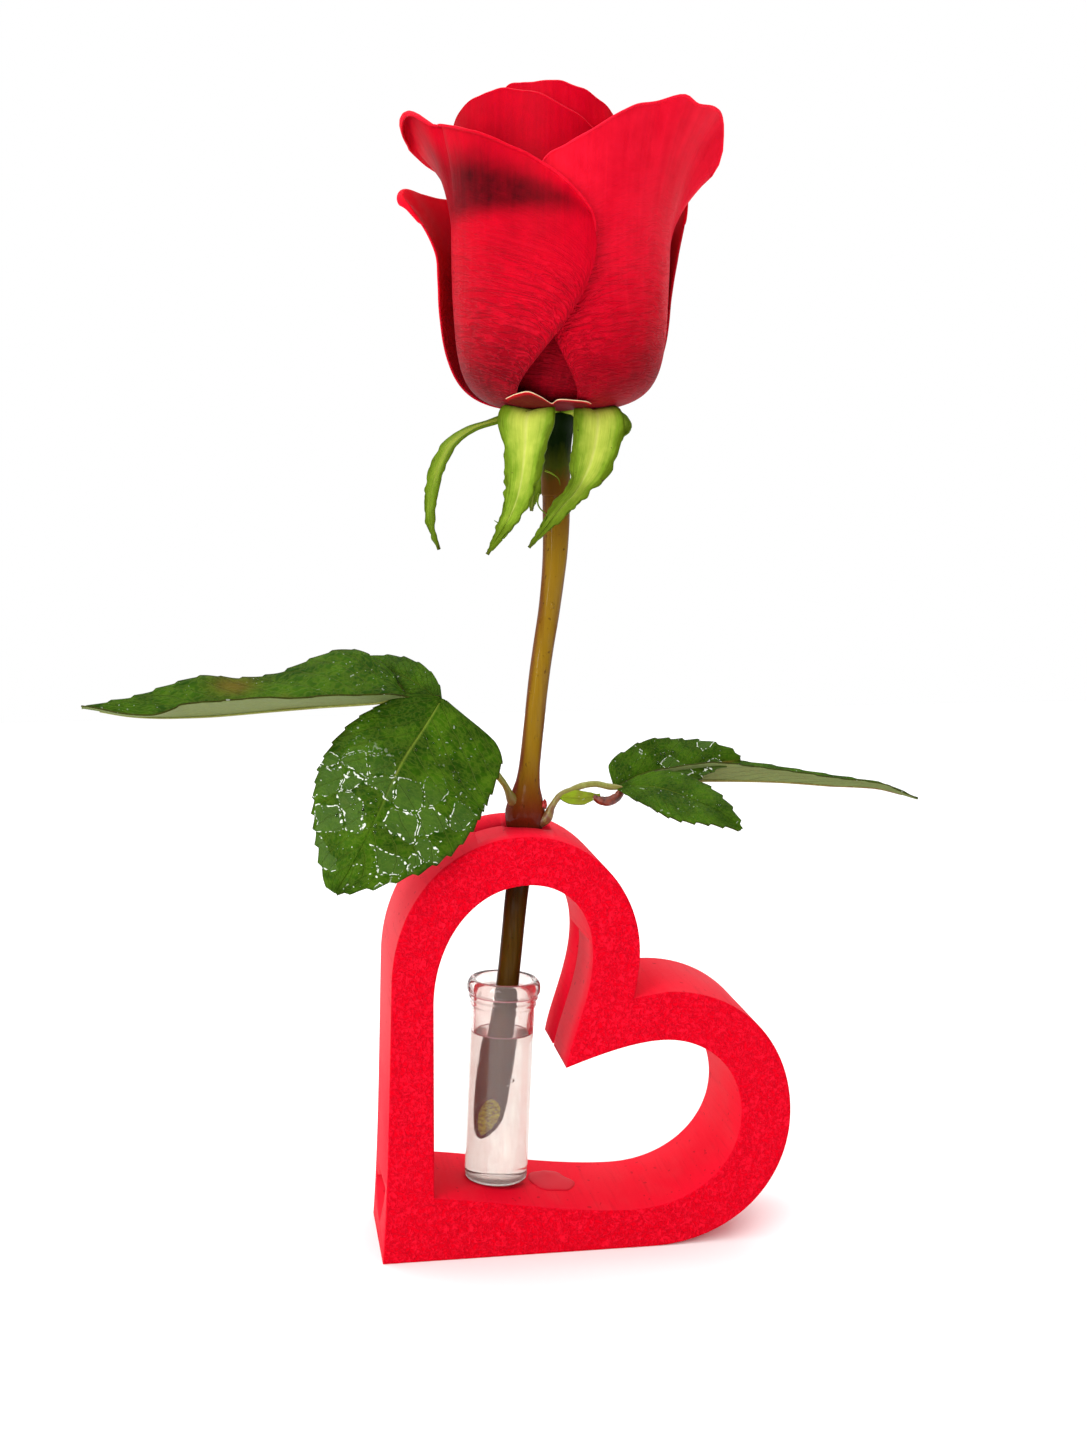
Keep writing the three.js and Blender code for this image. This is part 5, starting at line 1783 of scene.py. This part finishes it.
def bloom_spot(radius, azimuth, height):
    """The point at a radius and an azimuth round the bloom's axis, at a height above its base."""
    return Vector((
        BLOOM_X + radius * math.sin(azimuth), -radius * math.cos(azimuth), BLOOM_BASE + height,
    ))


class PetalSheet:
    """One petal as a sheet: its wall from the root to the margin, and the lip that rolls past it."""

    def __init__(self, petal, seed):
        self.petal = petal
        self.seed = seed
        self.rim = smooth_through(petal.rim)
        self.girth = smooth_through(petal.girth)
        self.flare = smooth_through(petal.flare)

    def wall(self, climb, side):
        """Radius, height and azimuth of a point of the wall."""
        petal = self.petal
        sway = swayed(side)
        rim = self.rim(sway)
        height = climb * rim
        opening = 0.55 + 0.45 * math.sin(math.pi / 2 * min(height / SPREAD_HEIGHT, 1))
        azimuth = math.radians(BLOOM_FRONT + petal.azimuth + petal.half * opening * sway)
        ramp = min(max((height - petal.start) / max(rim - petal.start, 6), 0), 1)
        return bowl(self.girth(sway), height) + self.flare(sway) * ramp * ramp, height, azimuth

    def lip(self, side, part):
        """How far past the margin's radius and height a point of the rolled lip is."""
        petal = self.petal
        hang, hang_at, hang_wide = petal.hang
        hanging = hill(swayed(side), hang_at, hang_wide) if hang else 0
        length = part * (petal.lip + hang * hanging) * ease(1 - abs(side), 0, 0.12)
        roll = LIP_ROLL + (petal.roll - LIP_ROLL) * hanging
        r0, h0, _ = self.wall(0.975, side)
        r1, h1, _ = self.wall(1, side)
        start = math.atan2(r1 - r0, h1 - h0)
        end = math.radians(LIP_TURN + (petal.turn - LIP_TURN) * ease(hanging, 0.05, 0.6))
        turned = min(start + length / roll, max(end, start))
        straight = max(length - roll * (turned - start), 0)
        outward = roll * (math.cos(start) - math.cos(turned)) + straight * math.sin(turned)
        upward = roll * (math.sin(turned) - math.sin(start)) + straight * math.cos(turned)
        return outward, upward

    def spot(self, side, along):
        """A point of the petal, with slow waves and small dents in its wall."""
        climb = climbed(along)
        radius, height, azimuth = self.wall(climb, side)
        if along > LIP_START:
            outward, upward = self.lip(side, (along - LIP_START) / (1 - LIP_START))
            radius += outward
            height += upward
        grown = ease(height, 4, 26)
        where = Vector((azimuth * 2.2, height * 0.07, self.seed * 7.3))
        radius += grown * 0.35 * noise.noise(where)
        radius += grown * 0.1 * noise.noise(Vector((azimuth * 7, height * 0.22, self.seed * 3.1)))
        height += 0.45 * climb ** 3 * noise.noise(Vector((azimuth * 5, self.seed * 5.7, 1)))
        return bloom_spot(radius, azimuth, height)

    def bright(self, side, along):
        """How bright the skin is here: dark at the root, full above."""
        climb = climbed(along)
        up_the_wall = 0.2 + 0.45 * ease(climb, 0.03, 0.36) + 0.35 * ease(climb, 0.1, 0.6)
        over_the_lip = 0.15 * max(along - LIP_START, 0) / (1 - LIP_START)
        return self.petal.bright * up_the_wall + over_the_lip

    def wrinkled(self, side, along):
        """Where the skin is wrinkled across: over the lower half and towards the side margins."""
        return hill(climbed(along), 0.36, 0.3) * (0.5 + 0.5 * ease(abs(side), 0.1, 0.8))

    def lay(self, bm, grid):
        lay_sheet(bm, *grid, self.spot, {"bright": self.bright, "wrinkled": self.wrinkled})


class FrontLeftPetal(PetalSheet):
    """The outer petal whose margin crosses the front, with a deep shade painted into its skin under its rim.
    """

    def bright(self, side, along):
        sway = swayed(side)
        _, height, _ = self.wall(climbed(along), side)
        rim = self.rim(sway)
        drop = (rim - height) / max(rim - PAINTED_SHADE_EDGE[0], 1)
        # The skin under the flared rim is painted dark: a painted shade where the rim overhangs the wall
        shade = hill(sway, 0.54, 0.68) * ease(drop, 0.02, 0.48) * ease(height, *PAINTED_SHADE_EDGE)
        return super().bright(side, along) * (1 - 0.93 * shade)


class ROSE_OT_bloom(bpy.types.Operator):
    """Makes the bloom: six outer petals, the inner ones winding into the bud, and a torn stub"""

    bl_idname = "rose.bloom"
    bl_label = "Bloom"

    def execute(self, context):
        settings = context.scene.rose_bloom
        glow = settings.glow
        outside = petal_finish("petal_outer_face", settings.deep, settings.full, glow, crease_mm=0.38)
        inside = petal_finish("petal_inner_face", settings.full, settings.inner, glow, crease_mm=0.2)

        def lay_piece(name, sheets, grid):
            bm = new_mesh("bright", "wrinkled")
            for sheet in sheets:
                sheet.lay(bm, grid)
            piece = make_piece(name, bm, outside, inside, thickness=settings.thickness)
            mount(piece, "petal", "bloom")

        for k, (name, petal) in enumerate(OUTER_PETALS.items()):
            kind = FrontLeftPetal if name == "front_left" else PetalSheet
            lay_piece(f"petal_{name}", [kind(petal, k + 1)], OUTER_GRID)
        inner = [PetalSheet(petal, k + 11) for k, petal in enumerate(INNER_PETALS)]
        lay_piece("inner_petals", inner, INNER_GRID)
        mount(self.stub(settings), "petal")
        return {"FINISHED"}

    def stub(self, settings):
        """What is left of a torn petal round the bloom's foot, with its wavy cream edge."""
        reach = smooth_through([
            (-1, 2.2), (-0.62, 3.2), (-0.4, 3.5), (-0.22, 2.6), (0, 1.2), (0.14, 1.9), (0.5, 1.8),
            (0.8, 1.6), (1, 1.2),
        ])

        def spot(side, climb):
            height = reach(side) * climb ** 1.5 + 0.02
            azimuth = math.radians(BLOOM_FRONT - 3 + STUB_HALF * side)
            return bloom_spot(bowl(STUB_WALL, height) + 0.25 * climb, azimuth, height - 0.3)

        bm = new_mesh()
        lay_sheet(bm, columns=60, rows=24, spot=spot)
        return make_piece("torn_petal", bm, torn_finish(settings), thickness=STUB_THICKNESS * MM)


# Panel and registration

class ROSE_PT_panel(bpy.types.Panel):
    bl_label = "Rose"
    bl_idname = "ROSE_PT_panel"
    bl_space_type = "VIEW_3D"
    bl_region_type = "UI"
    bl_category = "Rose"

    def draw(self, context):
        for operator, group in STEPS:
            box = self.layout.box()
            box.operator(operator.bl_idname)
            settings = getattr(context.scene, group)
            for name in settings.bl_rna.properties.keys():
                if name not in ("rna_type", "name"):
                    box.prop(settings, name)


GROUPS = {
    "rose_stage": StageSettings,
    "rose_heart": HeartSettings,
    "rose_tube": TubeSettings,
    "rose_stem": StemSettings,
    "rose_leaf": LeafSettings,
    "rose_calyx": CalyxSettings,
    "rose_bloom": BloomSettings,
}
STEPS = [
    (ROSE_OT_stage, "rose_stage"),
    (ROSE_OT_heart, "rose_heart"),
    (ROSE_OT_tube, "rose_tube"),
    (ROSE_OT_stem, "rose_stem"),
    (ROSE_OT_leaves, "rose_leaf"),
    (ROSE_OT_calyx, "rose_calyx"),
    (ROSE_OT_bloom, "rose_bloom"),
]


def register():
    for name, group in GROUPS.items():
        bpy.utils.register_class(group)
        setattr(bpy.types.Scene, name, bpy.props.PointerProperty(type=group))
    for operator, _ in STEPS:
        bpy.utils.register_class(operator)
    bpy.utils.register_class(ROSE_PT_panel)


def unregister():
    bpy.utils.unregister_class(ROSE_PT_panel)
    for operator, _ in STEPS:
        bpy.utils.unregister_class(operator)
    for name, group in GROUPS.items():
        delattr(bpy.types.Scene, name)
        bpy.utils.unregister_class(group)


def main():
    register()
    for operator, _ in STEPS:
        family, action = operator.bl_idname.split(".")
        getattr(getattr(bpy.ops, family), action)()


if __name__ == "__main__":
    main()
